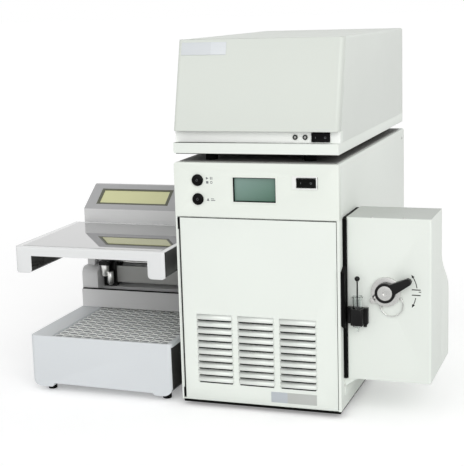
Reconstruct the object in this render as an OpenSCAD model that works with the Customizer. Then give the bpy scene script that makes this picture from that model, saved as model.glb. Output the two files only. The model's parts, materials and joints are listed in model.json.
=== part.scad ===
// Preparative liquid chromatography system: a pump tower with a louvred door, a detector standing on it,
// a manual injection box hung on its side and a fraction collector standing beside it.
// Millimetres. X runs to the right, Y to the back, Z up. The floor is z = 0.

/* [Tower casing] */
// Width of the tower casing
tower_w = 280; // [250:1:330]
// Depth of the tower casing
tower_d = 540; // [480:1:620]
// Height of the tower casing above its feet
tower_h = 409; // [390:1:460]
// Height of the tower's rubber feet
foot_h = 12; // [8:1:20]
// Diameter of the tower's rubber feet
foot_dia = 28; // [20:1:36]
// Distance of the feet from the casing's sides
foot_inset = 34; // [24:1:60]
// Thickness of the folded steel sheet
sheet = 1.5; // [1:0.1:2]
// Radius of the casing's long top edges
casing_r = 4; // [2:0.5:8]
// Height of the control panel above the door
panel_h = 90; // [86:1:110]
// Depth of the door's returns and of the control panel
front_depth = 14; // [12:0.5:18]
// Thickness of the floor plate and of the electronics shelf
plate_t = 2; // [1.5:0.1:3]
// Depth of the bay between door and bulkhead
bay_depth = 104; // [90:1:130]

/* [Door] */
// Width of the casing strip left of the hinge
hinge_strip = 2.9; // [2.5:0.1:5]
// Width of the casing strip right of the door
latch_strip = 4.5; // [3.5:0.1:8]
// Radius of the hinge knuckles
knuckle_r = 1.9; // [1.6:0.1:2.4]
// Diameter of the hinge pin
hinge_pin_dia = 1.8; // [1.4:0.1:2]
// Number of hinge knuckles, fixed and moving together
knuckles = 11; // [7:2:15]
// Length of the row of knuckles
hinge_len = 275; // [220:1:290]
// Gap between the door and what surrounds it
door_gap = 1; // [0.8:0.1:2]
// Rows of louvres
louvre_rows = 10; // [6:1:14]
// Columns of louvres
louvre_cols = 3; // [2:1:3]
// Length of one louvre
louvre_w = 63.5; // [50:0.5:66]
// Gap between the columns of louvres
louvre_gap = 9; // [6:0.5:14]
// Distance between two rows of louvres
louvre_pitch = 12.05; // [11:0.05:14]
// Height of one louvre's window
louvre_h = 8.8; // [7:0.1:10]
// Height of a louvre's blade
blade_h = 6.6; // [5:0.1:7]
// Depth of a louvre's blade behind the door face
blade_depth = 6; // [4:0.1:9]
// Distance from the casing's left side to the first column
louvre_left = 31; // [22:1:40]
// Distance from the casing's bottom to the lowest row
louvre_low = 32.5; // [26:0.5:60]
// Height of the finger pull on the door's free edge
pull_h = 100; // [60:1:140]
// Height of the pull's middle above the floor
pull_z = 204; // [150:1:240]
// Width of the finger pull
pull_w = 8; // [6:0.5:12]
// How far the finger pull stands out from the door
pull_out = 5; // [3:0.5:5]
// Width of the blank plate at the door's foot
door_badge_w = 78.5; // [60:0.5:100]
// Height of the blank plate at the door's foot
door_badge_h = 18; // [12:0.5:20]

/* [Control panel] */
// Wall of the moulded control panel
panel_t = 2; // [1.5:0.1:3]
// Width of the display window
lcd_w = 73; // [60:0.5:90]
// Height of the display window
lcd_h = 40.5; // [30:0.5:50]
// Distance of the window's left edge from the casing's side
lcd_left = 102.5; // [80:0.5:110]
// Height of the window's middle above the panel's lower edge
lcd_rise = 46.5; // [36:0.5:50]
// Width of the display's moulded surround
lcd_rim = 2; // [1.5:0.5:4]
// Depth of the glass behind the panel face
lcd_depth = 5; // [3:0.5:8]
// Diameter of the round push buttons
button_dia = 19; // [14:0.5:22]
// Distance of the buttons from the casing's left side
button_left = 41.4; // [30:0.5:60]
// Height of the lower button above the panel's lower edge
button_low = 29.5; // [20:0.5:34]
// Distance between the two buttons
button_pitch = 31.5; // [26:0.5:40]
// Travel of the round buttons
button_travel = 3; // [1:0.5:4]
// Width of the mains rocker
rocker_w = 32; // [24:0.5:36]
// Height of the mains rocker
rocker_h = 14.4; // [12:0.1:18]
// Distance of the rocker's middle from the casing's left side
rocker_left = 226.8; // [215:0.1:235]
// Height of the rocker's middle above the panel's lower edge
rocker_rise = 60; // [44:0.5:70]
// Width of the white rocker bezel
bezel_w = 42.4; // [40:0.1:50]
// Height of the white rocker bezel
bezel_h = 22; // [20:0.5:28]

/* [Pumps] */
// Distance between the two pump heads
pump_pitch = 96; // [84:1:120]
// Height of the pump heads above the floor plate
pump_rise = 132; // [110:1:150]
// Radius of a pump head
pump_r = 26; // [20:0.5:30]
// Length of a pump head in front of the bulkhead
pump_len = 44; // [34:1:60]
// Width across the check valves' flats
valve_flats = 14; // [10:0.5:17]
// Height of a check valve
valve_h = 20; // [14:1:26]
// Outer diameter of the solvent tubes
tube_dia = 3.2; // [1.6:0.1:4]
// Height of the purge valve above the pump heads
purge_rise = 92; // [80:1:110]
// Width of the purge valve block
purge_w = 34; // [28:1:44]
// Diameter of the purge knob
purge_knob_dia = 24; // [18:1:32]

/* [Fan] */
// Side of the square fan frame
fan_side = 119; // [92:1:125]
// Depth of the fan frame
fan_depth = 25; // [20:1:38]
// Number of fan blades
fan_blades = 7; // [5:1:9]

/* [Detector] */
// Height of the detector's feet
det_foot_h = 15; // [10:1:20]
// Diameter of the detector's feet
det_foot_dia = 20; // [14:1:30]
// Height of the detector above its feet
det_h = 183; // [160:1:220]
// Depth of the detector
det_d = 523; // [460:1:560]
// Height of the lip at the detector's foot
det_lip_h = 17; // [12:0.5:22]
// Height of the recessed band above the lip
det_band_h = 19; // [16:0.5:24]
// Depth of the recessed band behind the lip
det_band_depth = 12; // [8:0.5:16]
// How far the top of the front leans back
det_lean = 40; // [20:1:60]
// Radius of the front moulding's upright edges
det_edge_r = 7; // [3:0.5:10]
// Thickness of the front moulding at right angles to its face
det_front_t = 18; // [14:0.5:24]
// Width of the detector's rocker
det_rocker_w = 30; // [22:0.5:34]
// Height of the detector's rocker
det_rocker_h = 13.6; // [11:0.1:15]
// Distance of the detector's rocker from its left side
det_rocker_left = 248.2; // [240:0.1:255]
// Diameter of the detector's small buttons
det_button_dia = 8; // [5:0.5:10]
// Distance of the first small button from the left side
det_button_left = 206; // [150:0.5:210]
// Distance between the small buttons
det_button_pitch = 16.6; // [13:0.1:18]
// Width of the blank plate on the detector
det_badge_w = 78; // [50:1:100]
// Height of the blank plate on the detector
det_badge_h = 21; // [14:0.5:26]

/* [Injection box] */
// Gap between tower and injection box, filled by the pad
pad_t = 6; // [4:0.5:10]
// Width of the injection box
inj_w = 137; // [130:1:160]
// Height of the injection box
inj_h = 270; // [250:1:300]
// Height of the box's underside above the floor
inj_low = 64; // [50:1:80]
// Depth of the box's upper part
inj_d = 104; // [90:1:130]
// Distance of the box's face behind the tower's face
inj_back = 21; // [12:1:40]
// Further depth of the rounded rear cover
hump_d = 75; // [50:1:90]
// Height of the rear cover up to where its curve begins
hump_straight = 116; // [90:1:130]
// Height of the rear cover's curved shoulder
hump_curve = 80; // [60:1:90]
// Distance of the valve from the box's left side
valve_left = 65; // [60:0.5:74]
// Height of the valve above the box's underside
valve_rise = 150.5; // [140:0.5:170]
// Radius of the grey shroud behind the lever
shroud_r = 24; // [22:0.5:27]
// Thickness of the shroud
shroud_t = 5; // [4:0.5:8]
// Outer radius of the lever's ring
lever_ring_r = 16.3; // [15:0.1:18]
// Radius of the steel spindle inside the ring
spindle_r = 12; // [10:0.1:13]
// Thickness of the lever
lever_t = 10; // [7:0.5:14]
// Length of the lever from the valve's axis
lever_len = 47; // [40:1:60]
// Width of the lever at its tip
lever_tip_w = 11; // [8:0.5:14]
// Angle of the lever at rest, above the horizontal
lever_angle = 28; // [20:1:40]
// Radius of the sample loop
loop_r = 18.5; // [15:0.5:20]
// Diameter of the sample loop's tube
loop_tube = 1.6; // [1.2:0.1:2.4]
// Distance of the syringe from the box's left side
syringe_left = 20; // [18:0.5:24]
// Distance of the syringe's axis from the box's face
syringe_out = 12; // [11:0.5:15]
// Outer radius of the syringe barrel
barrel_r = 7.5; // [6:0.1:8.5]
// Wall of the syringe barrel
barrel_wall = 1.4; // [1:0.1:2]
// Length of the syringe barrel
barrel_len = 50; // [44:1:60]
// Height of the barrel's lower end above the box's underside
barrel_rise = 93; // [80:1:100]
// Diameter of the plunger's ball
ball_dia = 8.5; // [6:0.5:11]
// Height of the clamp block
clamp_h = 27; // [20:1:32]
// Width of the clamp block
clamp_w = 34; // [28:1:36]

/* [Fraction collector] */
// Gap between the collector and the tower
collector_gap = 21.5; // [15:0.5:60]
// Width of the collector's base
col_w = 271.5; // [260:0.5:300]
// Depth of the collector's base
col_d = 423; // [410:1:460]
// Height of the collector's feet
col_foot_h = 10; // [8:1:14]
// Height of the base above its feet
col_base_h = 94; // [80:1:110]
// Distance of the base's face behind the tower's face
col_back = 7; // [0:1:30]
// Radius of the base's upright corners
col_corner_r = 8; // [4:0.5:12]
// Radius of the base's lower long edges
col_lower_r = 18; // [10:1:22]
// Width of the rim left of the rack
rim_left = 41; // [30:1:50]
// Width of the rim right of the rack
rim_right = 8.5; // [6:0.5:14]
// Thickness of the base's front wall
rim_front = 5; // [4:0.5:10]
// Height of the rack
rack_h = 60; // [40:1:70]
// Columns of tube holes
rack_cols = 12; // [8:1:12]
// Rows of tube holes
rack_rows = 12; // [8:1:12]
// Distance between the tube holes
rack_pitch = 18.5; // [17:0.1:18.6]
// Diameter of a tube hole
tube_hole = 14; // [10:0.5:15]
// Travel of the rack under the column
rack_travel = 165; // [100:1:165]
// Distance of the column's cheeks behind the base's face
cheek_back = 212; // [205:1:225]
// Width of a cheek
cheek_w = 32.5; // [28:0.5:40]
// Height of the cheeks above the base
cheek_h = 78; // [70:1:90]
// Distance of the lower beam behind the cheeks' front
beam_back = 21; // [14:1:28]
// Height of the lower beam
beam_h = 36; // [30:1:42]
// Width of the posts that carry the head
post_w = 15; // [12:0.5:20]
// Height of the head's underside above the base
head_rise = 161; // [150:1:180]
// Height of the head's upright lower face
head_face_h = 28; // [20:1:36]
// Height of the head's sloping face
head_slope_h = 40; // [34:1:50]
// Depth of the head's sloping face
head_slope_d = 57; // [52:1:70]
// Diameter of the carriage's guide rods
rod_dia = 8; // [6:0.5:10]
// Width of the drop carriage
carriage_w = 36; // [30:1:44]
// Distance of the carriage from the left cheek at rest
carriage_start = 3; // [2:0.5:20]
// Width of the collector's display
disp_w = 150; // [120:1:160]
// Height of the collector's display along the slope
disp_h = 43; // [36:0.5:46]
// Width of the dark frame round the lit area
disp_rim = 6; // [4:0.5:10]
// Distance of the display from the head's left side
disp_left = 21; // [14:1:40]

/* [Hood] */
// Width of the hood
hood_w = 285; // [280:0.5:300]
// How far the hood reaches past the head's left side
hood_left = 14; // [8:1:16]
// How far the hood reaches in front of the base
hood_front = 12; // [4:1:20]
// Thickness of the hood's walls
hood_t = 3; // [2:0.1:4]
// Height of the hood's front apron
apron_h = 16; // [12:0.5:22]
// Height of the hood's side rails
rail_h = 47; // [36:1:52]
// Width of the hood's side rails
rail_w = 32; // [24:1:34]
// Diameter of the hood's hinge pins
hood_pin_dia = 5; // [4:0.5:6]

/* [Hidden] */
$fn = 48;
eps = 0.01;
// Gap between pieces that move past each other, and running clearance of a shaft in its bore
run_gap = 0.3;
fit_gap = 0.05;

// Tower levels
floor_z = foot_h + plate_t;
tower_top = foot_h + tower_h;
panel_z = tower_top - panel_h;
shelf_z = panel_z - plate_t;
bulk_y = front_depth + bay_depth;
mid_x = tower_w / 2;

// Door
hinge_x = hinge_strip + knuckle_r + 0.2;
door_x0 = hinge_x + knuckle_r + 0.2;
door_x1 = tower_w - latch_strip - door_gap;
door_z0 = foot_h + plate_t + 0.5;
door_z1 = shelf_z - 0.5 * door_gap;
door_mid_z = (door_z0 + door_z1) / 2;
door_back = front_depth - plate_t;
knuckle_pitch = hinge_len / knuckles;
hinge_z0 = door_mid_z - hinge_len / 2;
catch_w = 20;
catch_h = 12;
badge_t = 0.8;
door_badge_right = 41.5;
door_badge_rise = 7;

// Control panel
lcd_z = panel_z + lcd_rise;
rocker_z = panel_z + rocker_rise;
rocker_play = 1.1;
button_flange = 1.5;
button_proud = button_travel + 0.5;
button_body = 8;

// Pumps
pump_z = floor_z + pump_rise;
purge_z = pump_z + purge_rise;
purge_d = 30;
valve_stem_r = 4;
valve_stem = 6;
manifold_z = floor_z + 34;
manifold_h = 16;
manifold_d = 20;
head_mid_y = bulk_y - 24;
tube_r = tube_dia / 2;
bend_r = 12;
motor_r = 28;

// Fan
fan_x = tower_w - sheet - fan_side / 2 - 16;
fan_z = foot_h + 165;
fan_back = tower_d - plate_t;
fan_bore_r = fan_side / 2 - 4;
hub_r = 20;

// Detector
det_z0 = tower_top + det_foot_h;
det_z1 = det_z0 + det_h;
det_y0 = 2;
det_y1 = det_y0 + det_d;
lip_top = det_z0 + det_lip_h;
band_top = lip_top + det_band_h;
band_z = (lip_top + band_top) / 2;
band_y = det_y0 + det_band_depth;
lean_h = det_z1 - band_top;
lean = atan(det_lean / lean_h);
face_len = norm([lean_h, det_lean]);
band_inset = 4;

// Injection box
inj_x0 = tower_w + pad_t;
inj_x1 = inj_x0 + inj_w;
inj_y0 = inj_back;
inj_y1 = inj_back + inj_d;
inj_z1 = inj_low + inj_h;
valve_x = inj_x0 + valve_left;
valve_z = inj_low + valve_rise;
shroud_y = inj_y0 - shroud_t;
lever_y1 = shroud_y - run_gap;
lever_y0 = lever_y1 - lever_t;
stator_r = 13;
loop_dx = 9;
loop_dz = 21.5;
loop_d = norm([loop_dx, loop_dz]);
loop_y = inj_y0 - shroud_t / 2;
port_angle = 215;
port_reach = 25;
syringe_x = inj_x0 + syringe_left;
syringe_y = inj_y0 - syringe_out;
barrel_z0 = inj_low + barrel_rise;
barrel_z1 = barrel_z0 + barrel_len;
clamp_z0 = barrel_z0 + 3;
piston_z = barrel_z0 + 0.42 * barrel_len;
piston_h = 6;
plunger_rod_r = 1.25;
ball_z = barrel_z1 + 29;

// Collector
col_x1 = -collector_gap;
col_x0 = col_x1 - col_w;
col_y0 = col_back;
col_y1 = col_y0 + col_d;
col_top = col_foot_h + col_base_h;
rack_x0 = col_x0 + rim_left;
rack_x1 = col_x1 - rim_right;
rack_y0 = col_y0 + rim_front;
rack_top = col_top - 3;
rack_bottom = rack_top - rack_h;
well_floor = rack_bottom - run_gap;
rack_wall = 2;
rack_gap = 0.5;
rack_len = rack_rows * rack_pitch + 5;
well_y1 = rack_y0 + rack_gap + rack_len + rack_travel + 1;
cheek_y = col_y0 + cheek_back;
beam_y = cheek_y + beam_back;
cheek_x0 = col_x0 + 3;
cheek_x1 = col_x1 - 1.5;
chan_x0 = cheek_x0 + cheek_w;
chan_x1 = cheek_x1 - cheek_w;
cheek_top = col_top + cheek_h;
cheek_round = 14;
head_z = col_top + head_rise;
chan_z0 = col_top + beam_h;
chan_z1 = head_z - 28;
plate_y = beam_y + 10;
back_plate_t = 2;
slot_h = 8;
back_plate_z0 = chan_z0 + slot_h;
back_plate_h = 32;
back_plate_z1 = back_plate_z0 + back_plate_h;
chan_y1 = plate_y + back_plate_t + 26;
rod_y_pos = plate_y + back_plate_t + 13;
rod_z_low = chan_z0 + slot_h + 3;
rod_z_high = back_plate_z1 + 6;
rod_hold = 10;
carriage_x0 = chan_x0 + carriage_start;
carriage_x1 = carriage_x0 + carriage_w;
nozzle_x = carriage_x0 + carriage_w / 2;
nozzle_y = plate_y - 20;
nozzle_r = 6;
nozzle_z1 = back_plate_z1 + 14;
nozzle_z0 = chan_z0 + 4;

// Head
head_y = beam_y + 6;
head_x0 = cheek_x0 - 2;
head_x1 = cheek_x1 + 1;
head_top = head_z + head_face_h + head_slope_h;
head_tilt = atan(head_slope_h / head_slope_d);
head_slope = norm([head_slope_h, head_slope_d]);
disp_recess = 3;

// Hood
hood_x0 = head_x0 - hood_left;
hood_x1 = hood_x0 + hood_w;
hood_y0 = col_y0 - hood_front;
hood_y1 = head_y - 9;
hood_z1 = head_z + 3;
hood_axis_y = hood_y1 - 4;
hood_axis_z = hood_z1 - hood_t - 6.5;
lug_r = 6;
rail_y1 = hood_y1 - 14;
post_x0 = cheek_x0 + 3;
ear_w = 9;

// The model's origin: the middle of its footprint, on the floor
origin_x = (hood_x0 + inj_x1) / 2;
origin_y = (hood_y0 + tower_d) / 2;

// ---------- Shared shapes ----------

// Moves the model so that its origin is the middle of the footprint
module placed() {
    translate([-origin_x, -origin_y, 0])
        children();
}

// Block between two values along each axis
module span(x, y, z) {
    translate([x[0], y[0], z[0]])
        cube([x[1] - x[0], y[1] - y[0], z[1] - z[0]]);
}

// Round bars along X, Y and Z
module bar_x(r, x, y, z) {
    translate([x[0], y, z])
        rotate([0, 90, 0])
            cylinder(r = r, h = x[1] - x[0]);
}

module bar_y(r, x, y, z) {
    translate([x, y[1], z])
        rotate([90, 0, 0])
            cylinder(r = r, h = y[1] - y[0]);
}

module bar_z(r, x, y, z) {
    translate([x, y, z[0]])
        cylinder(r = r, h = z[1] - z[0]);
}

// Outline in X and Z drawn out along Y
module along_y(y) {
    translate([0, y[1], 0])
        rotate([90, 0, 0])
            linear_extrude(height = y[1] - y[0])
                children();
}

// Outline in Y and Z drawn out along X
module along_x(x) {
    translate([x[0], 0, 0])
        rotate([90, 0, 90])
            linear_extrude(height = x[1] - x[0])
                children();
}

// Rectangle with round corners
module round_rect(x, y, r) {
    translate([x[0] + r, y[0]])
        square([x[1] - x[0] - 2 * r, y[1] - y[0]]);
    translate([x[0], y[0] + r])
        square([x[1] - x[0], y[1] - y[0] - 2 * r]);
    for (cx = [x[0] + r, x[1] - r], cy = [y[0] + r, y[1] - r])
        translate([cx, cy])
            circle(r = r);
}

// Rectangle whose two upper corners are round
module arch(x, z, r) {
    translate([x[0], z[0]])
        square([x[1] - x[0], z[1] - z[0] - r]);
    translate([x[0] + r, z[0]])
        square([x[1] - x[0] - 2 * r, z[1] - z[0]]);
    for (cx = [x[0] + r, x[1] - r])
        translate([cx, z[1] - r])
            circle(r = r);
}

// Points of an arc round a centre
function arc(c, r, a0, a1, n = 8) = [for (i = [0:n]) c + r * [cos(a0 + (a1 - a0) * i / n), sin(a0 + (a1 - a0) * i / n)]];

// Rocker cap with a shallow V face and two trunnions, its pivot at the origin
module rocker_cap(w, h) {
    along_x([-w / 2, w / 2])
        polygon([[5, -h / 2 + 3], [-3.4, -h / 2], [-1.6, 0], [-3.4, h / 2], [5, h / 2 - 3]]);
    bar_x(1.2, [-w / 2 - 1.6, w / 2 + 1.6], 2, 0);
}

// ---------- Tower ----------

// Welded frame: floor plate, front strips, shelf and rear posts
module tower_chassis() {
    color("whitesmoke")
    placed() {
        difference() {
            union() {
                span([sheet, tower_w - sheet], [front_depth, tower_d], [foot_h, floor_z]);
                span([0, tower_w], [plate_t, front_depth], [foot_h, floor_z]);
                span([0, hinge_strip], [0, front_depth], [foot_h, panel_z]);
                span([tower_w - latch_strip, tower_w], [0, front_depth], [foot_h, panel_z]);
                span([sheet, tower_w - sheet], [front_depth, tower_d - plate_t], [shelf_z, panel_z]);
                span([0, tower_w], [4, front_depth], [shelf_z, panel_z]);
                for (x = [sheet, tower_w - sheet - 12])
                    span([x, x + 12], [tower_d - plate_t - 12, tower_d - plate_t], [floor_z - eps, shelf_z + eps]);
                for (i = [0:2:knuckles - 1])
                    hinge_knuckle(i, hinge_strip - 0.5, hinge_x);
            }
            bar_z(hinge_pin_dia / 2 + fit_gap, hinge_x, 0, [hinge_z0 - 1, hinge_z0 + hinge_len + 1]);
        }
    }
}

// One knuckle of the long hinge with its leaf between two places in X
module hinge_knuckle(i, x0, x1) {
    z0 = hinge_z0 + i * knuckle_pitch + run_gap / 2;
    z1 = z0 + knuckle_pitch - run_gap;
    bar_z(knuckle_r, hinge_x, 0, [z0, z1]);
    span([x0, x1], [0, sheet], [z0, z1]);
}

// Wrap-round cover: both sides and the top, folded from one sheet
module tower_cover() {
    color("gainsboro")
    placed()
        along_y([front_depth, tower_d])
            difference() {
                arch([0, tower_w], [foot_h, tower_top], casing_r);
                arch([sheet, tower_w - sheet], [foot_h - 1, tower_top - sheet], casing_r - sheet);
            }
}

// Rear panel with the fan's round grille, vent slots and the mains inlet's opening
module tower_rear_panel() {
    color("lightgray")
    placed() {
        difference() {
            span([sheet, tower_w - sheet], [tower_d - plate_t, tower_d], [floor_z, tower_top - sheet]);
            for (r = [hub_r:9:fan_bore_r - 6], q = [0:3])
                translate([fan_x, tower_d + 1, fan_z])
                    rotate([90, 0, 0])
                        rotate([0, 0, 90 * q + 8])
                            rotate_extrude(angle = 74)
                                translate([r, 0])
                                    square([5, plate_t + 2]);
            for (i = [0:9])
                span([34 + i * 9, 38 + i * 9], [tower_d - plate_t - 1, tower_d + 1], [foot_h + 110, foot_h + 170]);
            for (x = [sheet + 40])
                span([x, x + 27], [tower_d - plate_t - 1, tower_d + 1], [foot_h + 40, foot_h + 60]);
        }
        mains_inlet(sheet + 40, foot_h + 40);
    }
}

// Mains inlet: a socket with three flat pins behind the panel, flush with its back
module mains_inlet(x, z) {
    difference() {
        span([x - 2, x + 29], [tower_d - plate_t - 22, tower_d - plate_t], [z - 2, z + 22]);
        span([x, x + 27], [tower_d - plate_t - 18, tower_d + 1], [z, z + 20]);
    }
    for (p = [[5.5, 6], [19.5, 6], [12.5, 12]])
        span([x + p[0], x + p[0] + 2], [tower_d - plate_t - 19, tower_d - 6], [z + p[1] - 2, z + p[1] + 2]);
}

// Four rubber feet
module tower_feet() {
    color("dimgray")
    placed()
        for (x = [foot_inset, tower_w - foot_inset], y = [foot_inset, tower_d - foot_inset])
            translate([x, y, 0])
                cylinder(r1 = foot_dia / 2 - 2, r2 = foot_dia / 2, h = foot_h);
}

// Moulded control panel with its returns and the openings for display, buttons and rocker
module control_panel() {
    color("whitesmoke")
    placed()
        difference() {
            along_y([0, front_depth])
                arch([0, tower_w], [panel_z, tower_top], casing_r);
            span([panel_t, tower_w - panel_t], [panel_t, front_depth + 1], [panel_z + panel_t, tower_top - panel_t]);
            span([lcd_left - lcd_rim / 2, lcd_left + lcd_w + lcd_rim / 2], [-1, panel_t + 1],
                [lcd_z - lcd_h / 2 - lcd_rim / 2, lcd_z + lcd_h / 2 + lcd_rim / 2]);
            for (i = [0:1])
                bar_y(button_dia / 2 + run_gap, button_left, [-1, panel_t + 1], panel_z + button_low + i * button_pitch);
            span([rocker_left - rocker_w / 2 - 3, rocker_left + rocker_w / 2 + 3], [-1, panel_t + 1],
                [rocker_z - rocker_h / 2 - 2.3, rocker_z + rocker_h / 2 + 2.3]);
        }
}

// Surround of the display window
module lcd_frame() {
    color("whitesmoke")
    placed()
        difference() {
            union() {
                span([lcd_left - lcd_rim, lcd_left + lcd_w + lcd_rim], [-0.8, 0],
                    [lcd_z - lcd_h / 2 - lcd_rim, lcd_z + lcd_h / 2 + lcd_rim]);
                span([lcd_left - lcd_rim / 2, lcd_left + lcd_w + lcd_rim / 2], [-eps, lcd_depth],
                    [lcd_z - lcd_h / 2 - lcd_rim / 2, lcd_z + lcd_h / 2 + lcd_rim / 2]);
            }
            span([lcd_left, lcd_left + lcd_w], [-2, lcd_depth + 1], [lcd_z - lcd_h / 2, lcd_z + lcd_h / 2]);
        }
}

// Display glass seated on the back of its surround
module lcd_glass() {
    color("cadetblue")
    placed()
        span([lcd_left - lcd_rim / 2, lcd_left + lcd_w + lcd_rim / 2], [lcd_depth, lcd_depth + 3],
            [lcd_z - lcd_h / 2 - lcd_rim / 2, lcd_z + lcd_h / 2 + lcd_rim / 2]);
}

// Round push button with a slightly domed face and a retaining flange behind the panel
module push_button(z) {
    color("black")
    placed() {
        bar_y(button_dia / 2, button_left, [-button_proud + 1, button_body], z);
        bar_y(button_dia / 2 - 1.2, button_left, [-button_proud, -button_proud + 1 + eps], z);
        bar_y(button_dia / 2 + 1.5, button_left, [panel_t + run_gap, panel_t + run_gap + button_flange], z);
    }
}

module upper_button() {
    push_button(panel_z + button_low + button_pitch);
}

module lower_button() {
    push_button(panel_z + button_low);
}

// Mains rocker, tipping about its trunnions
module power_rocker() {
    color("black")
    placed()
        translate([rocker_left, 0, rocker_z])
            rocker_cap(rocker_w, rocker_h);
}

// White bezel that clips into the panel and carries the rocker
module rocker_bezel() {
    color("white")
    placed()
        difference() {
            union() {
                span([rocker_left + rocker_w / 2 + 2.4 - bezel_w, rocker_left + rocker_w / 2 + 2.4], [-1.2, 0],
                    [rocker_z - bezel_h / 2, rocker_z + bezel_h / 2]);
                span([rocker_left - rocker_w / 2 - 2.8, rocker_left + rocker_w / 2 + 2.4 - eps], [-eps, 11],
                    [rocker_z - rocker_h / 2 - 2.1, rocker_z + rocker_h / 2 + 2.1]);
            }
            span([rocker_left - rocker_w / 2 - run_gap, rocker_left + rocker_w / 2 + run_gap], [-4, 8.5],
                [rocker_z - rocker_h / 2 - rocker_play, rocker_z + rocker_h / 2 + rocker_play]);
            bar_x(1.2 + fit_gap, [rocker_left - rocker_w / 2 - 1.8, rocker_left + rocker_w / 2 + 1.8], 2, rocker_z);
        }
}

// Ribbed pad on the tower's top for a stacked module
module stacking_pad() {
    color("silver")
    placed() {
        span([tower_w - 28, tower_w - 7], [10, 44], [tower_top, tower_top + 1.5]);
        for (i = [0:6])
            span([tower_w - 26.5 + i * 2.8, tower_w - 25 + i * 2.8], [11, 43], [tower_top + 1.5 - eps, tower_top + 3]);
    }
}

// Front sheet of the door with its four returns
module door_tray() {
    difference() {
        span([door_x0, door_x1], [0, door_back], [door_z0, door_z1]);
        span([door_x0 + sheet, door_x1 - sheet], [sheet, door_back + 1], [door_z0 + sheet, door_z1 - sheet]);
        for (i = [0:louvre_cols - 1], j = [0:louvre_rows - 1])
            translate([louvre_left + i * (louvre_w + louvre_gap), -1, foot_h + louvre_low + j * louvre_pitch])
                cube([louvre_w, sheet + 2, louvre_h]);
    }
}

// One louvre: a blade pressed inwards, closed at both ends
module louvre() {
    along_x([0, louvre_w])
        polygon([[0, 0], [blade_depth - sheet, blade_h], [blade_depth, blade_h], [sheet, 0]]);
    for (x = [0, louvre_w - sheet])
        along_x([x, x + sheet])
            polygon([[0, 0], [blade_depth, blade_h], [sheet, louvre_h], [0, louvre_h]]);
}

// Louvred door with its share of the hinge's knuckles
module door() {
    color("whitesmoke")
    placed() {
        difference() {
            union() {
                door_tray();
                for (i = [1:2:knuckles - 1])
                    hinge_knuckle(i, hinge_x, door_x0 + 0.5);
            }
            bar_z(hinge_pin_dia / 2 + fit_gap, hinge_x, 0, [hinge_z0 - 1, hinge_z0 + hinge_len + 1]);
        }
        for (i = [0:louvre_cols - 1], j = [0:louvre_rows - 1])
            translate([louvre_left + i * (louvre_w + louvre_gap), 0, foot_h + louvre_low + j * louvre_pitch])
                louvre();
    }
}

// Long pin through all the knuckles
module hinge_pin() {
    color("silver")
    placed()
        bar_z(hinge_pin_dia / 2, hinge_x, 0, [hinge_z0, hinge_z0 + hinge_len]);
}

// Finger pull with sloping ends on the door's free edge
module door_pull() {
    color("black")
    placed()
        along_x([door_x1 - pull_w, door_x1])
            polygon([[0, pull_z - pull_h / 2], [0, pull_z + pull_h / 2], [-pull_out, pull_z + pull_h / 2 - 8],
                [-pull_out, pull_z - pull_h / 2 + 3]]);
}

// Blank plate at the door's foot
module door_badge() {
    color("silver")
    placed()
        span([tower_w - door_badge_right - door_badge_w, tower_w - door_badge_right], [-badge_t, 0],
            [door_z0 + door_badge_rise - 2, door_z0 + door_badge_rise - 2 + door_badge_h]);
}

// Magnetic catch under the shelf
module door_catch() {
    color("silver")
    placed()
        span([tower_w - 50, tower_w - 50 + catch_w], [front_depth - plate_t + run_gap, front_depth + 10],
            [shelf_z - catch_h, shelf_z]);
}

// Bulkhead across the bay, bored for the two pistons
module bulkhead() {
    color("lightsteelblue")
    placed()
        difference() {
            span([sheet, tower_w - sheet], [bulk_y, bulk_y + plate_t], [floor_z, shelf_z]);
            for (s = [-1, 1])
                bar_y(pump_r - 8, mid_x + s * pump_pitch / 2, [bulk_y - 1, bulk_y + plate_t + 1], pump_z);
        }
}

// Turned pump head with its flange, clamp ring, bolts and two ports for the check valves
module pump_head(x) {
    color("lightgray")
    placed()
        difference() {
            union() {
                bar_y(pump_r + 6, x, [bulk_y - 7, bulk_y], pump_z);
                bar_y(pump_r, x, [bulk_y - pump_len + 8, bulk_y - 7 + eps], pump_z);
                bar_y(pump_r - 7, x, [bulk_y - pump_len, bulk_y - pump_len + 8 + eps], pump_z);
                span([x - 9, x + 9], [head_mid_y - 9, head_mid_y + 9], [pump_z - pump_r - 2, pump_z + pump_r + 2]);
                for (a = [45:90:315])
                    bar_y(3, x + (pump_r - 3.6) * cos(a), [bulk_y - pump_len + 4, bulk_y - pump_len + 8 + eps],
                        pump_z + (pump_r - 3.6) * sin(a));
            }
            for (s = [-1, 1])
                bar_z(valve_stem_r + fit_gap, x, head_mid_y, [pump_z + s * (pump_r + 2) - valve_stem,
                    pump_z + s * (pump_r + 2) + valve_stem]);
        }
}

module pump_head_left() {
    pump_head(mid_x - pump_pitch / 2);
}

module pump_head_right() {
    pump_head(mid_x + pump_pitch / 2);
}

// Four hexagonal check valves, one above and one below each pump head
module check_valves() {
    color("silver")
    placed()
        for (px = [-1, 1], s = [0, 180])
            translate([mid_x + px * pump_pitch / 2, head_mid_y, pump_z])
                rotate([s, 0, 0]) {
                    translate([0, 0, pump_r + 2])
                        cylinder(r = valve_flats / sqrt(3), h = valve_h - 4, $fn = 6);
                    translate([0, 0, pump_r + 2 - valve_stem])
                        cylinder(r = valve_stem_r, h = valve_stem + eps);
                    translate([0, 0, pump_r - 2 + valve_h - eps])
                        cylinder(r = valve_flats / 2 - 2, h = 4);
                }
}

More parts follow.
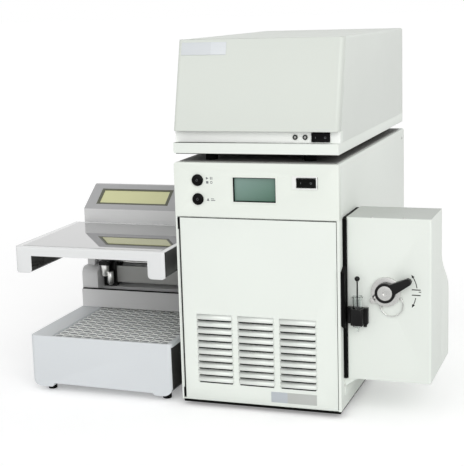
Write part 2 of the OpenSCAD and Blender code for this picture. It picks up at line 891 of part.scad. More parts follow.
// Solvent manifold on the bulkhead with a riser to each inlet valve
module inlet_manifold() {
    color("ivory")
    placed() {
        span([mid_x - pump_pitch / 2 - 22, mid_x + pump_pitch / 2 + 22], [bulk_y - manifold_d - 14, bulk_y],
            [manifold_z, manifold_z + manifold_h]);
        for (s = [-1, 1])
            bar_z(tube_r, mid_x + s * pump_pitch / 2, head_mid_y, [manifold_z + manifold_h - eps,
                pump_z - pump_r - 2 - valve_h]);
    }
}

// Steel tubes from the outlet valves to the purge valve's two sides
module outlet_tubes() {
    x0 = mid_x - pump_pitch / 2;
    z0 = pump_z + pump_r + 2 + valve_h;
    color("silver")
    placed()
        for (m = [0, 1])
            translate([mid_x, 0, 0])
                mirror([m, 0, 0])
                    translate([-mid_x, 0, 0]) {
                        bar_z(tube_r, x0, head_mid_y, [z0, purge_z - bend_r]);
                        translate([x0 + bend_r, head_mid_y, purge_z - bend_r])
                            rotate([90, 0, 0])
                                rotate([0, 0, 90])
                                    rotate_extrude(angle = 90)
                                        translate([bend_r, 0])
                                            circle(r = tube_r);
                        bar_x(tube_r, [x0 + bend_r, mid_x - purge_w / 2], head_mid_y, purge_z);
                    }
}

// Purge valve block, bored for its knob
module purge_valve() {
    color("lightgray")
    placed()
        difference() {
            span([mid_x - purge_w / 2, mid_x + purge_w / 2], [bulk_y - purge_d - 6, bulk_y],
                [purge_z - purge_w / 2, purge_z + purge_w / 2]);
            bar_y(5 + fit_gap, mid_x, [bulk_y - purge_d - 7, bulk_y - purge_d + 6], purge_z);
        }
}

// Fluted purge knob on its stem
module purge_knob() {
    front = bulk_y - purge_d - 6;
    color("black")
    placed() {
        difference() {
            bar_y(purge_knob_dia / 2, mid_x, [front - 16, front - 1], purge_z);
            for (a = [0:30:330])
                bar_y(1.4, mid_x + (purge_knob_dia / 2 + 0.5) * cos(a), [front - 17, front],
                    purge_z + (purge_knob_dia / 2 + 0.5) * sin(a));
        }
        bar_y(5, mid_x, [front - 1 - eps, front + 9], purge_z);
    }
}

// Pump drive behind the bulkhead: cam housing and two motors
module pump_drive() {
    color("gray")
    placed() {
        span([mid_x - pump_pitch / 2 - 34, mid_x + pump_pitch / 2 + 34], [bulk_y + plate_t, bulk_y + 120],
            [pump_z - 40, pump_z + 40]);
        for (s = [-1, 1])
            bar_y(motor_r, mid_x + s * pump_pitch / 2, [bulk_y + 120 - eps, bulk_y + 190], pump_z);
        span([mid_x - 20, mid_x + 20], [bulk_y + 20, bulk_y + 100], [floor_z, pump_z - 40 + eps]);
    }
}

// Power supply on the floor plate
module power_supply() {
    color("silver")
    placed()
        difference() {
            span([30, 150], [tower_d - 240, tower_d - 60], [floor_z, floor_z + 70]);
            for (i = [0:12])
                span([38 + i * 8, 42 + i * 8], [tower_d - 200, tower_d - 120], [floor_z + 66, floor_z + 71]);
        }
}

// Fan frame with its round tunnel and the arms that hold the motor
module fan_frame() {
    h = fan_side / 2;
    color("black")
    placed()
        difference() {
            union() {
                difference() {
                    span([fan_x - h, fan_x + h], [fan_back - fan_depth, fan_back], [fan_z - h, fan_z + h]);
                    bar_y(fan_bore_r, fan_x, [fan_back - fan_depth - 1, fan_back + 1], fan_z);
                }
                for (a = [45:90:315])
                    translate([fan_x, fan_back - fan_depth, fan_z])
                        rotate([0, a, 0])
                            translate([-3, 0, 8])
                                cube([6, 3, fan_bore_r - 6]);
                bar_y(hub_r - 4, fan_x, [fan_back - fan_depth, fan_back - fan_depth + 5], fan_z);
            }
            bar_y(2 + fit_gap, fan_x, [fan_back - fan_depth - 1, fan_back - fan_depth + 6], fan_z);
        }
}

// Fan rotor: hub, spindle and pitched blades
module fan_rotor() {
    y0 = fan_back - fan_depth + 6;
    color("dimgray")
    placed() {
        bar_y(hub_r, fan_x, [y0, fan_back - 3], fan_z);
        bar_y(2, fan_x, [y0 - 5, y0 + eps], fan_z);
        for (i = [0:fan_blades - 1])
            translate([fan_x, y0 + 8, fan_z])
                rotate([0, i * 360 / fan_blades, 0])
                    rotate([0, 0, 35])
                        translate([-10, -0.8, hub_r - 3])
                            cube([20, 1.6, fan_bore_r - hub_r - 1]);
    }
}

// ---------- Detector ----------

// Point on the detector's leaning face: X, distance up the slope, outwards
module on_det_face() {
    translate([0, det_y0, band_top])
        rotate([90 - lean, 0, 0])
            children();
}

// Base tray with its lip, recessed band and back wall, carrying rocker and buttons
module detector_base() {
    color("whitesmoke")
    placed()
        difference() {
            union() {
                span([0, tower_w], [det_y0, det_y1], [det_z0, lip_top]);
                span([band_inset, tower_w - band_inset], [band_y, det_y1], [lip_top - eps, band_top]);
                span([band_inset, tower_w - band_inset], [det_y1 - 3, det_y1], [band_top - eps, det_z1 - 3]);
            }
            span([band_inset + 3, tower_w - band_inset - 3], [band_y + 3, det_y1 - 3], [det_z0 + 3, band_top + 1]);
            for (i = [0:1])
                bar_y(det_button_dia / 2 + run_gap, det_button_left + i * det_button_pitch, [band_y - 1, band_y + 4], band_z);
            span([det_rocker_left - det_rocker_w / 2 - run_gap, det_rocker_left + det_rocker_w / 2 + run_gap],
                [band_y - 1, band_y + 4], [band_z - det_rocker_h / 2 - rocker_play, band_z + det_rocker_h / 2 + rocker_play]);
            bar_x(1.2 + fit_gap, [det_rocker_left - det_rocker_w / 2 - 1.8, det_rocker_left + det_rocker_w / 2 + 1.8],
                band_y + 2, band_z);
        }
}

// Wrap-round cover of the detector
module detector_cover() {
    color("gainsboro")
    placed()
        difference() {
            along_y([det_y0, det_y1])
                difference() {
                    arch([0, tower_w], [lip_top, det_z1], casing_r);
                    arch([sheet, tower_w - sheet], [lip_top - 1, det_z1 - sheet], casing_r - sheet);
                }
            span([-1, tower_w + 1], [det_y0 - 1, band_y + 16], [lip_top - 1, band_top]);
            on_det_face()
                span([-1, tower_w + 1], [-60, face_len + 60], [-det_front_t, 60]);
            span([band_inset - 4 + sheet, tower_w - band_inset + 4 - sheet], [det_y1 - 3, det_y1 + 1], [lip_top - 2, det_z1 - sheet]);
        }
}

// Leaning front moulding with round upright edges
module detector_front() {
    color("whitesmoke")
    placed()
        intersection() {
            on_det_face()
                translate([0, -60, -det_front_t])
                    rotate([-90, 0, 0])
                        mirror([0, 1, 0])
                            linear_extrude(height = face_len + 120)
                                front_section();
            span([-1, tower_w + 1], [0, det_d], [band_top, det_z1]);
        }
}

// Section of the front moulding across its face: a channel with two round outer corners
module front_section() {
    difference() {
        arch([0, tower_w], [0, det_front_t], det_edge_r);
        translate([3, -1])
            square([tower_w - 6, det_front_t - 2]);
    }
}

// Four round feet under the detector
module detector_feet() {
    color("black")
    placed()
        for (x = [55, tower_w - 55], y = [35, 480])
            bar_z(det_foot_dia / 2, x, y, [tower_top, det_z0]);
}

module detector_rocker() {
    color("black")
    placed()
        translate([det_rocker_left, band_y, band_z])
            rocker_cap(det_rocker_w, det_rocker_h);
}

// Small ring button of the detector
module small_button(x) {
    color("gray")
    placed()
        difference() {
            union() {
                bar_y(det_button_dia / 2, x, [band_y - 2, band_y + 6], band_z);
                bar_y(det_button_dia / 2 + 1, x, [band_y + 3 + run_gap, band_y + 4.5], band_z);
            }
            bar_y(det_button_dia / 2 - 1.6, x, [band_y - 3, band_y - 1], band_z);
        }
}

module detector_button_left() {
    small_button(det_button_left);
}

module detector_button_right() {
    small_button(det_button_left + det_button_pitch);
}

// Blank plate high on the detector's face
module detector_badge() {
    color("aliceblue")
    placed()
        on_det_face()
            span([7, 7 + det_badge_w], [face_len - 5 - det_badge_h, face_len - 5], [0, badge_t]);
}

// ---------- Injection box ----------

// Folded case with a hole for the valve
module injector_case() {
    color("whitesmoke")
    placed()
        difference() {
            translate([0, 0, inj_low])
                linear_extrude(height = inj_h)
                    union() {
                        round_rect([inj_x0, inj_x1], [inj_y0, inj_y0 + 20], 3);
                        translate([inj_x0, inj_y0 + 8])
                            square([inj_w, inj_d - 8]);
                    }
            span([inj_x0 + sheet, inj_x1 - sheet], [inj_y0 + sheet, inj_y1 - sheet], [inj_low + sheet, inj_z1 - sheet]);
            bar_y(stator_r + fit_gap, valve_x, [inj_y0 - 1, inj_y0 + sheet + 1], valve_z);
        }
}

// Profile of the rear cover: upright, then a smooth shoulder back to the case
function hump_profile(inset) = concat(
    [[inj_y1, inj_low + inset], [inj_y1 + hump_d - inset, inj_low + inset]],
    [for (i = [0:12]) [inj_y1 + (hump_d - inset) * (1 + cos(180 * i / 12)) / 2,
        inj_low + hump_straight + (hump_curve - inset) * i / 12]]);

module injector_rear_cover() {
    color("lightgray")
    placed()
        difference() {
            along_x([inj_x0, inj_x1])
                polygon(hump_profile(0));
            along_x([inj_x0 + 2, inj_x1 - 2])
                polygon(hump_profile(2));
        }
}

// Rubber pad between tower and box
module injector_pad() {
    color("black")
    placed()
        span([tower_w, inj_x0], [inj_y0 + 3, inj_y1 - 5], [inj_low, inj_z1 - 1]);
}

// Folded bracket under the box, screwed to the tower's side
module injector_bracket() {
    color("lightgray")
    placed() {
        span([tower_w, tower_w + 2], [inj_y0 + 3, inj_y0 + 80], [inj_low - 30, inj_low]);
        span([tower_w, inj_x0 + 15], [inj_y0 + 3, inj_y0 + 80], [inj_low - 2, inj_low]);
        for (y = [inj_y0 + 3, inj_y0 + 78])
            along_y([y, y + 2])
                polygon([[tower_w + 1, inj_low - 1], [inj_x0 + 14, inj_low - 1], [tower_w + 1, inj_low - 14]]);
    }
}

// Injection valve: round shroud, steel spindle in front, stator behind the box's face
module valve_body() {
    color("darkgray")
    placed()
        difference() {
            union() {
                bar_y(shroud_r, valve_x, [shroud_y, inj_y0], valve_z);
                bar_y(stator_r, valve_x, [inj_y0 - eps, inj_y0 + 34], valve_z);
                bar_y(spindle_r, valve_x, [lever_y0 + 1, shroud_y + eps], valve_z);
                bar_y(6, valve_x + port_reach * cos(port_angle), [shroud_y, inj_y0], valve_z + port_reach * sin(port_angle));
                bar_y(3.5, valve_x + port_reach * cos(port_angle), [shroud_y - 7, shroud_y + eps],
                    valve_z + port_reach * sin(port_angle));
            }
            bar_y(3, valve_x, [lever_y0, lever_y0 + 4], valve_z);
        }
}

// Lever: a ring round the spindle and a tapering handle
module valve_lever() {
    color("black")
    placed()
        translate([valve_x, lever_y1, valve_z])
            rotate([90, 0, 0])
                rotate([0, 0, lever_angle])
                    linear_extrude(height = lever_t)
                        difference() {
                            union() {
                                circle(r = lever_ring_r);
                                polygon([[lever_ring_r - 4, -9], [lever_len - 3, -lever_tip_w / 2], [lever_len, -lever_tip_w / 2 + 3],
                                    [lever_len, lever_tip_w / 2 - 3], [lever_len - 3, lever_tip_w / 2], [lever_ring_r - 4, 9]]);
                            }
                            circle(r = spindle_r + fit_gap);
                        }
}

// Sample loop: a round of thin tube between two nuts on the shroud's rim
module sample_loop() {
    reach = shroud_r + 2;
    half = acos((loop_d * loop_d + loop_r * loop_r - reach * reach) / (2 * loop_d * loop_r));
    to_valve = atan2(loop_dz, -loop_dx);
    color("silver")
    placed()
        translate([valve_x + loop_dx, loop_y, valve_z - loop_dz])
            rotate([90, 0, 0]) {
                rotate([0, 0, to_valve + half])
                    rotate_extrude(angle = 360 - 2 * half)
                        translate([loop_r, 0])
                            circle(r = loop_tube / 2);
                for (s = [-1, 1])
                    rotate([0, 0, to_valve + s * (half + 3)])
                        translate([loop_r, 0, 0])
                            rotate([90, 0, 0])
                                cylinder(r = 2, h = 4, center = true, $fn = 6);
            }
}

// Glass barrel of the injection syringe with its flange and nozzle
module syringe_barrel() {
    color("lightcyan")
    placed()
        translate([syringe_x, syringe_y, barrel_z0])
            rotate_extrude()
                polygon([[0.8, -8], [2.2, -8], [3, 0], [barrel_r, 0], [barrel_r, barrel_len - 1.5], [barrel_r + 1.8, barrel_len - 1.5],
                    [barrel_r + 1.8, barrel_len], [barrel_r - barrel_wall, barrel_len], [barrel_r - barrel_wall, 2], [0.8, 2]]);
}

// Plunger: piston, thin rod and ball
module syringe_plunger() {
    color("black")
    placed() {
        bar_z(barrel_r - barrel_wall - fit_gap, syringe_x, syringe_y, [piston_z, piston_z + piston_h]);
        bar_z(plunger_rod_r, syringe_x, syringe_y, [piston_z + piston_h - eps, ball_z]);
        translate([syringe_x, syringe_y, ball_z])
            sphere(r = ball_dia / 2);
    }
}

// Clamp block on the box's face, bored for the barrel
module syringe_clamp() {
    color("black")
    placed()
        difference() {
            union() {
                translate([0, 0, clamp_z0])
                    linear_extrude(height = clamp_h)
                        union() {
                            round_rect([syringe_x - 10.5, syringe_x + 10.5], [syringe_y - 10.5, inj_y0 - 2], 6);
                            translate([syringe_x - clamp_w / 2 - 1, inj_y0 - 8])
                                square([clamp_w, 8]);
                        }
                bar_z(3, syringe_x + 11, inj_y0 - 4.5, [clamp_z0 - 5, clamp_z0 + eps]);
            }
            bar_z(barrel_r + fit_gap, syringe_x, syringe_y, [clamp_z0 - 1, clamp_z0 + clamp_h + 1]);
        }
}

// ---------- Fraction collector ----------

// Base with its well for the rack, which runs back under the column
module collector_base() {
    color("lightgray")
    placed()
        difference() {
            intersection() {
                translate([0, 0, col_foot_h - 1])
                    linear_extrude(height = col_base_h + 1)
                        round_rect([col_x0, col_x1], [col_y0, col_y1], col_corner_r);
                along_y([col_y0 - 1, col_y1 + 1])
                    union() {
                        round_rect([col_x0, col_x1], [col_foot_h, col_top - 20], col_lower_r);
                        translate([col_x0, col_top - 50])
                            square([col_w, 50]);
                    }
            }
            span([rack_x0, rack_x1], [rack_y0, well_y1], [well_floor, col_top + 1]);
            along_y([col_y0 - 2, col_y1 + 2])
                polygon([[col_x0 + 38, col_foot_h - 1], [col_x0 + 44, col_foot_h + 7], [col_x1 - 38, col_foot_h + 4],
                    [col_x1 - 32, col_foot_h - 1]]);
        }
}

// Four feet under the base
module collector_feet() {
    color("black")
    placed()
        for (x = [col_x0 + 27, col_x1 - 20], y = [col_y0 + 24, col_y1 - 24])
            bar_z(8, x, y, [0, col_foot_h]);
}

// Rack: an open-bottomed box whose top is a grid of countersunk tube holes
module tube_rack() {
    x0 = (rack_x0 + rack_x1) / 2 - (rack_cols - 1) / 2 * rack_pitch;
    y0 = rack_y0 + rack_gap + 2.5 + rack_pitch / 2;
    color("silver")
    placed()
        difference() {
            span([rack_x0 + rack_gap, rack_x1 - rack_gap], [rack_y0 + rack_gap, rack_y0 + rack_gap + rack_len], [rack_bottom, rack_top]);
            span([rack_x0 + rack_gap + rack_wall, rack_x1 - rack_gap - rack_wall],
                [rack_y0 + rack_gap + rack_wall, rack_y0 + rack_gap + rack_len - rack_wall], [rack_bottom + 3, rack_top - 4]);
            for (i = [0:rack_cols - 1], j = [0:rack_rows - 1])
                translate([x0 + i * rack_pitch, y0 + j * rack_pitch, rack_top]) {
                    translate([0, 0, -5])
                        cylinder(r = tube_hole / 2, h = 6, $fn = 24);
                    translate([0, 0, -1.6])
                        cylinder(r1 = tube_hole / 2 - eps, r2 = tube_hole / 2 + 1.7, h = 1.6 + eps, $fn = 24);
                }
        }
}

// Profile of one cheek in Y and Z, its front upper corner round
function cheek_profile() = concat([[cheek_y, col_top], [cheek_y, cheek_top - cheek_round]],
    arc([cheek_y + cheek_round, cheek_top - cheek_round], cheek_round, 180, 90),
    [[chan_y1 + 1, cheek_top], [chan_y1 + 1, col_top]]);

// Profile of a post in Y and Z, with the round lug that holds the hood's pin
function post_profile() = concat([[beam_y, cheek_top - 1], [beam_y, hood_axis_z - 34], [hood_axis_y - lug_r, hood_axis_z - 12]],
    arc([hood_axis_y, hood_axis_z], lug_r, 180, 0),
    [[hood_axis_y + lug_r, hood_axis_z - 3], [head_y + 2, hood_axis_z - 3], [head_y + 2, head_z], [chan_y1 + 1, head_z],
        [chan_y1 + 1, cheek_top - 1]]);

// Column: rear housing, two cheeks, lower beam and the posts under the head
module collector_column() {
    color("darkgray")
    placed()
        difference() {
            union() {
                span([cheek_x0, cheek_x1], [chan_y1, col_y1 - 4], [col_top, head_z]);
                span([chan_x0 - eps, chan_x1 + eps], [plate_y + back_plate_t, chan_y1 + eps], [chan_z1, head_z]);
                span([chan_x0 - eps, chan_x1 + eps], [beam_y, chan_y1 + eps], [col_top, chan_z0 - 9]);
                span([chan_x0 - eps, chan_x1 + eps], [beam_y + 3, chan_y1 + eps], [chan_z0 - 10, chan_z0]);
                for (x = [cheek_x0, cheek_x1 - cheek_w])
                    along_x([x, x + cheek_w])
                        polygon(cheek_profile());
                for (x = [post_x0, cheek_x1 - 3 - post_w])
                    along_x([x, x + post_w])
                        polygon(post_profile());
                for (x = [chan_x0 - 12, chan_x1 - eps])
                    span([x, x + 12 + eps], [plate_y, chan_y1 + eps], [cheek_top - eps, head_z]);
            }
            for (z = [rod_z_low, rod_z_high])
                bar_x(rod_dia / 2 + fit_gap, [chan_x0 - rod_hold, chan_x1 + rod_hold], rod_y_pos, z);
            bar_x(hood_pin_dia / 2 + fit_gap, [post_x0 - 1, cheek_x1 - 2], hood_axis_y, hood_axis_z);
        }
}

// Grey plate between the two slots of the carriage
module collector_back_plate() {
    color("gray")
    placed()
        span([chan_x0, chan_x1], [plate_y, plate_y + back_plate_t], [back_plate_z0, back_plate_z1]);
}

// Two guide rods behind the plate
module guide_rods() {
    color("silver")
    placed()
        for (z = [rod_z_low, rod_z_high])
            bar_x(rod_dia / 2, [chan_x0 - rod_hold + 0.2, chan_x1 + rod_hold - 0.2], rod_y_pos, z);
}

// Carriage: bushing block behind the plate, two arms through the slots and a front bracket
module drop_carriage() {
    x = [carriage_x0, carriage_x1];
    color("black")
    placed()
        difference() {
            union() {
                span(x, [plate_y + back_plate_t + 2, rod_y_pos + 11], [rod_z_low - 8, rod_z_high + 8]);
                span(x, [plate_y - 8, rod_y_pos], [chan_z0 + 1.5, back_plate_z0 - 1.5]);
                span(x, [plate_y - 8, rod_y_pos], [back_plate_z1 + 1.5, rod_z_high + 8]);
                span(x, [plate_y - 8, plate_y - 2], [chan_z0 + 1.5, rod_z_high + 8]);
                span([nozzle_x - nozzle_r - 5, nozzle_x + nozzle_r + 5], [nozzle_y - nozzle_r - 3, plate_y - 7],
                    [back_plate_z0 + 10, back_plate_z0 + 24]);
            }
            for (z = [rod_z_low, rod_z_high])
                bar_x(rod_dia / 2 + fit_gap, [x[0] - 1, x[1] + 1], rod_y_pos, z);
            bar_z(nozzle_r + fit_gap, nozzle_x, nozzle_y, [back_plate_z0, back_plate_z1]);
        }
}

// Drop nozzle: clear body in the bracket with a fine tip
module drop_nozzle() {
    color("lightcyan")
    placed()
        translate([nozzle_x, nozzle_y, 0])
            rotate_extrude()
                polygon([[1, nozzle_z0], [1.8, nozzle_z0], [3.2, nozzle_z0 + 9], [nozzle_r, nozzle_z0 + 13], [nozzle_r, nozzle_z1 - 8],
                    [nozzle_r - 2, nozzle_z1 - 8], [nozzle_r - 2, nozzle_z1], [1, nozzle_z1]]);
}

// Place on the head's sloping face: X, distance up the slope, outwards
module on_head_face() {
    translate([head_x0 + disp_left, head_y, head_z + head_face_h])
        rotate([head_tilt, 0, 0])
            translate([0, (head_slope - disp_h) / 2, 0])
                children();
}

// Head with its upright lower face, sloping face and display recess
module collector_head() {
    color("darkgray")
    placed()
        difference() {
            along_x([head_x0, head_x1])
                polygon(concat([[head_y, head_z], [head_y, head_z + head_face_h], [head_y + head_slope_d, head_top - 1]],
                    arc([head_y + head_slope_d + 4, head_top - 4], 4, 125, 90, 3),
                    arc([col_y1 - 4 - 6, head_top - 6], 6, 90, 0, 6),
                    [[col_y1 - 4, head_z]]));
            on_head_face()
                translate([0, 0, -disp_recess])
                    cube([disp_w, disp_h, disp_recess + 10]);
        }
}

// Dark frame in the head's recess
module display_bezel() {
    color("darkolivegreen")
    placed()
        on_head_face()
            difference() {
                translate([0, 0, -disp_recess])
                    cube([disp_w, disp_h, disp_recess - 0.4]);
                translate([disp_rim, disp_rim * 0.7, -disp_recess - 1])
                    cube([disp_w - 2 * disp_rim, disp_h - disp_rim * 1.4, disp_recess + 2]);
            }
}

module display_glass() {
    color("khaki")
    placed()
        on_head_face()
            translate([disp_rim, disp_rim * 0.7, -disp_recess])
                cube([disp_w - 2 * disp_rim, disp_h - disp_rim * 1.4, disp_recess - 1.4]);
}

// Ring-shaped groove that frames the hood's top
module hood_groove() {
    difference() {
        span([hood_x0 + 11, hood_x1 - 11], [hood_y0 + 11, hood_y1 - 8], [hood_z1 - 0.8, hood_z1 + 1]);
        span([hood_x0 + 12.2, hood_x1 - 12.2], [hood_y0 + 12.2, hood_y1 - 9.2], [hood_z1 - 1, hood_z1 + 2]);
    }
}

// Hood: top plate, front apron, two hollow side rails and the ears on the hinge pins
module hood() {
    color("gainsboro")
    placed()
        difference() {
            union() {
                intersection() {
                    translate([0, 0, hood_z1 - rail_h])
                        linear_extrude(height = rail_h)
                            union() {
                                round_rect([hood_x0, hood_x1], [hood_y0, hood_y0 + 60], 7);
                                translate([hood_x0, hood_y0 + 20])
                                    square([hood_w, hood_y1 - hood_y0 - 20]);
                            }
                    along_y([hood_y0 - 1, hood_y1 + 1])
                        hood_section();
                    union() {
                        span([hood_x0, hood_x1], [hood_y0, hood_y1], [hood_z1 - hood_t, hood_z1]);
                        span([hood_x0, hood_x1], [hood_y0, hood_y0 + hood_t], [hood_z1 - rail_h, hood_z1]);
                        for (x = [hood_x0, hood_x0 + rail_w - hood_t, hood_x1 - rail_w, hood_x1 - hood_t])
                            span([x, x + hood_t], [hood_y0, rail_y1], [hood_z1 - rail_h, hood_z1]);
                        for (x = [hood_x0, hood_x1 - rail_w])
                            span([x, x + rail_w], [rail_y1 - hood_t, rail_y1], [hood_z1 - rail_h, hood_z1]);
                    }
                }
                for (x = [post_x0 + post_w + run_gap, cheek_x1 - 3 - post_w - run_gap - ear_w])
                    span([x, x + ear_w], [hood_axis_y - 5, hood_y1], [hood_axis_z - 5, hood_z1 - hood_t + eps]);
            }
            hood_groove();
            bar_x(hood_pin_dia / 2 + fit_gap, [post_x0, cheek_x1 - 3], hood_axis_y, hood_axis_z);
        }
}

// Hood's outline seen from the front: two rails with round lower corners and the apron between
module hood_section() {
    translate([hood_x0, hood_z1 - apron_h])
        square([hood_w, apron_h]);
    for (x = [hood_x0, hood_x1 - rail_w])
        round_rect([x, x + rail_w], [hood_z1 - rail_h, hood_z1 - 2], 7);
}

// Two pins through the posts' lugs and the hood's ears
module hood_pins() {
    color("silver")
    placed()
        for (x = [post_x0, cheek_x1 - 3 - post_w - ear_w - run_gap])
            bar_x(hood_pin_dia / 2, [x, x + post_w + ear_w + run_gap], hood_axis_y, hood_axis_z);
}

tower_chassis();
tower_cover();
tower_rear_panel();
tower_feet();
control_panel();
lcd_frame();
lcd_glass();
upper_button();
lower_button();
power_rocker();
rocker_bezel();
stacking_pad();
door();
hinge_pin();
door_pull();
door_badge();
door_catch();
bulkhead();
pump_head_left();
pump_head_right();
check_valves();
inlet_manifold();
outlet_tubes();
purge_valve();
purge_knob();
pump_drive();
power_supply();
fan_frame();
fan_rotor();
detector_base();
detector_cover();
detector_front();
detector_feet();
detector_rocker();
detector_button_left();
detector_button_right();
detector_badge();
injector_case();
injector_rear_cover();
injector_pad();
injector_bracket();
valve_body();
valve_lever();
sample_loop();
syringe_barrel();
syringe_plunger();
syringe_clamp();
collector_base();
collector_feet();
tube_rack();
collector_column();
collector_back_plate();
guide_rods();
drop_carriage();
drop_nozzle();
collector_head();
display_bezel();
display_glass();
hood();
hood_pins();
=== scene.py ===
"""Looks of a bench HPLC system: finishes, softened edges, printed marks, fixings and the studio round it."""

import json
import math

import bmesh
import bpy
from mathutils import Matrix, Vector

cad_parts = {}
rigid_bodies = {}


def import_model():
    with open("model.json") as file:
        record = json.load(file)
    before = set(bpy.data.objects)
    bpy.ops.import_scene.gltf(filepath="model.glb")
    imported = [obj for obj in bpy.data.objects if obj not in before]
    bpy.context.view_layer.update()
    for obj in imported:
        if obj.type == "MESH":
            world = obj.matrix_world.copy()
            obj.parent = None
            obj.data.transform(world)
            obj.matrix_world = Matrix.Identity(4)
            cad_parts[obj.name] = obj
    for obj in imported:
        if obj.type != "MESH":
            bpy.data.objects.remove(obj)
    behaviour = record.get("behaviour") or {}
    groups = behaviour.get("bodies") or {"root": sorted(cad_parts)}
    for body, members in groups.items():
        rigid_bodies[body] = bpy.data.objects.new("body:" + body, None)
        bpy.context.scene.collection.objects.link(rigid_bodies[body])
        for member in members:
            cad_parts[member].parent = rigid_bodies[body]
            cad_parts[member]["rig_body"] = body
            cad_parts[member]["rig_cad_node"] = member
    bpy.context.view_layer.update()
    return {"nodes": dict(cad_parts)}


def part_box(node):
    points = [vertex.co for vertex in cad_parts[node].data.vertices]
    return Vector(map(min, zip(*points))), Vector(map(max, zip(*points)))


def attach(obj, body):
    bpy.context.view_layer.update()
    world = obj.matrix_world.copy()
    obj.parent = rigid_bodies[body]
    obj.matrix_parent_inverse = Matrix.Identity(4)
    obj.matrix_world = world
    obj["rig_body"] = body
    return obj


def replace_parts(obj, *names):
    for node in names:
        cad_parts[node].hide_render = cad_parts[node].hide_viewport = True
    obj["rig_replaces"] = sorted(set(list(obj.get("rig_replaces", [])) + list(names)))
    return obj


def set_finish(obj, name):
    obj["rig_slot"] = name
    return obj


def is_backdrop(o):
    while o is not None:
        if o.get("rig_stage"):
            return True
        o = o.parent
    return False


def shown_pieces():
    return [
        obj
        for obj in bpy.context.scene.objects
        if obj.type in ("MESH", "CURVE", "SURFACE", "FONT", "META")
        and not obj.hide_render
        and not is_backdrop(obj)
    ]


bl_info = {
    "name": "HPLC System Looks",
    "version": (1, 0, 0),
    "blender": (4, 5, 0),
    "location": "3D View > Sidebar > HPLC System",
    "description": "Finishes, softened edges, printed marks, fixings and studio for a bench HPLC system",
    "category": "Object",
}

for leftover in list(bpy.data.objects):
    bpy.data.objects.remove(leftover)
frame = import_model()

MM = 0.001
SYSTEM = "system"
RIGHT, FRONT, UP = (1, 0, 0), (0, -1, 0), (0, 0, 1)
COLOUR, VECTOR, VALUE = "NodeSocketColor", "NodeSocketVector", "NodeSocketFloat"
GEOMETRY, MATERIAL, OBJECT = "NodeSocketGeometry", "NodeSocketMaterial", "NodeSocketObject"
KINDS = {int: "NodeSocketInt", float: VALUE, tuple: VECTOR}


def length(name, description, default):
    """A length in metres."""
    more = {"min": 0.0, "precision": 5, "subtype": "DISTANCE", "unit": "LENGTH"}
    return bpy.props.FloatProperty(name=name, description=description, default=default, **more)


def colour(name, description, default):
    """A colour as a screen shows it."""
    more = {"size": 3, "min": 0.0, "max": 1.0, "subtype": "COLOR_GAMMA"}
    return bpy.props.FloatVectorProperty(name=name, description=description, default=default, **more)


def amount(name, description, default, high=10.0, low=0.0):
    """A plain number."""
    return bpy.props.FloatProperty(name=name, description=description, default=default, min=low, max=high)


def angle(name, description, default):
    """An angle in radians."""
    more = {"subtype": "ANGLE", "unit": "ROTATION", "precision": 4}
    return bpy.props.FloatProperty(name=name, description=description, default=default, **more)


def count(name, description, default):
    """A whole number."""
    return bpy.props.IntProperty(name=name, description=description, default=default, min=1)


class HplcColours(bpy.types.PropertyGroup):
    """Colours of the finishes."""

    casing: colour("Casing", "Paint of the tower chassis, door and injector box", (0.905, 0.925, 0.9))
    cover: colour("Cover", "Paint of the wrapped covers", (0.895, 0.913, 0.89))
    panel: colour("Panel", "Moulded front panels", (0.905, 0.925, 0.895))
    collector: colour("Collector Base", "Paint of the collector base", (0.825, 0.84, 0.85))
    collector_grey: colour("Collector Grey", "Paint of the collector column and head", (0.835, 0.835, 0.835))
    rack: colour("Rack", "Plastic of the tube rack", (0.62, 0.63, 0.63))
    hood: colour("Hood", "Glossy plastic of the hood", (0.87, 0.875, 0.875))
    back_plate: colour("Back Plate", "Plate behind the carriage", (0.72, 0.722, 0.71))
    # The mat's grey stands in for the shade in the gap under the detector: painted shade.
    mat: colour("Mat", "Pad under the detector", (0.52, 0.52, 0.51))
    # The band is given a paler tone than the casing: painted light that lifts the shade under the leaning
    # front.
    band: colour("Band", "Front of the detector's base", (0.99, 1.0, 0.985))
    black: colour("Black", "Knobs, pulls and clamps", (0.018, 0.018, 0.018))
    rubber: colour("Rubber", "Feet, pad and seals", (0.02, 0.022, 0.02))
    white: colour("White", "Rocker bezel", (0.93, 0.935, 0.925))
    ivory: colour("Ivory", "Inlet manifold", (0.87, 0.85, 0.78))
    cast: colour("Cast Housing", "Pump drive", (0.45, 0.46, 0.47))
    olive: colour("Display Bezel", "Bezel of the collector display", (0.27, 0.28, 0.2))
    # The displays' tone falls from light to dark across the glass: painted shading.
    green_light: colour("Green Display, Light", "Upper left of the green display", (0.5, 0.61, 0.575))
    green_dark: colour("Green Display, Dark", "Lower right of the green display", (0.21, 0.385, 0.3))
    yellow: colour("Yellow Display", "Field of the collector display", (0.8, 0.8, 0.6))
    plate: colour("Plate", "Metal badge of the door", (0.75, 0.76, 0.745))
    plate_blue: colour("Plate Blue", "Left field of the door badge", (0.75, 0.775, 0.8))
    pale_plate: colour("Pale Plate", "Badge of the detector", (0.815, 0.83, 0.84))
    steel: colour("Steel", "Polished and machined steel", (0.86, 0.86, 0.85))
    zinc: colour("Zinc", "Inner sheet metal", (0.74, 0.75, 0.76))
    # The lid's dark tone is painted shade that darkens the hood's top; its glossy coat reflects for real.
    lid: colour("Lid", "Dark glossy field in the hood's top", (0.31, 0.31, 0.31))
    # Shade is painted shade: the hood's right-facing faces, the door's hinge, gaps and top face, and the
    # collector base's side carry it.
    shade: colour("Shade", "Hood's rails and the seals in the door's gaps", (0.16, 0.16, 0.155))
    # The head's leaning face is given a darker tone: painted shade of a face turned from the light.
    head_tilt_shade: colour("Head Tilt", "Leaning face of the display head", (0.66, 0.66, 0.665))


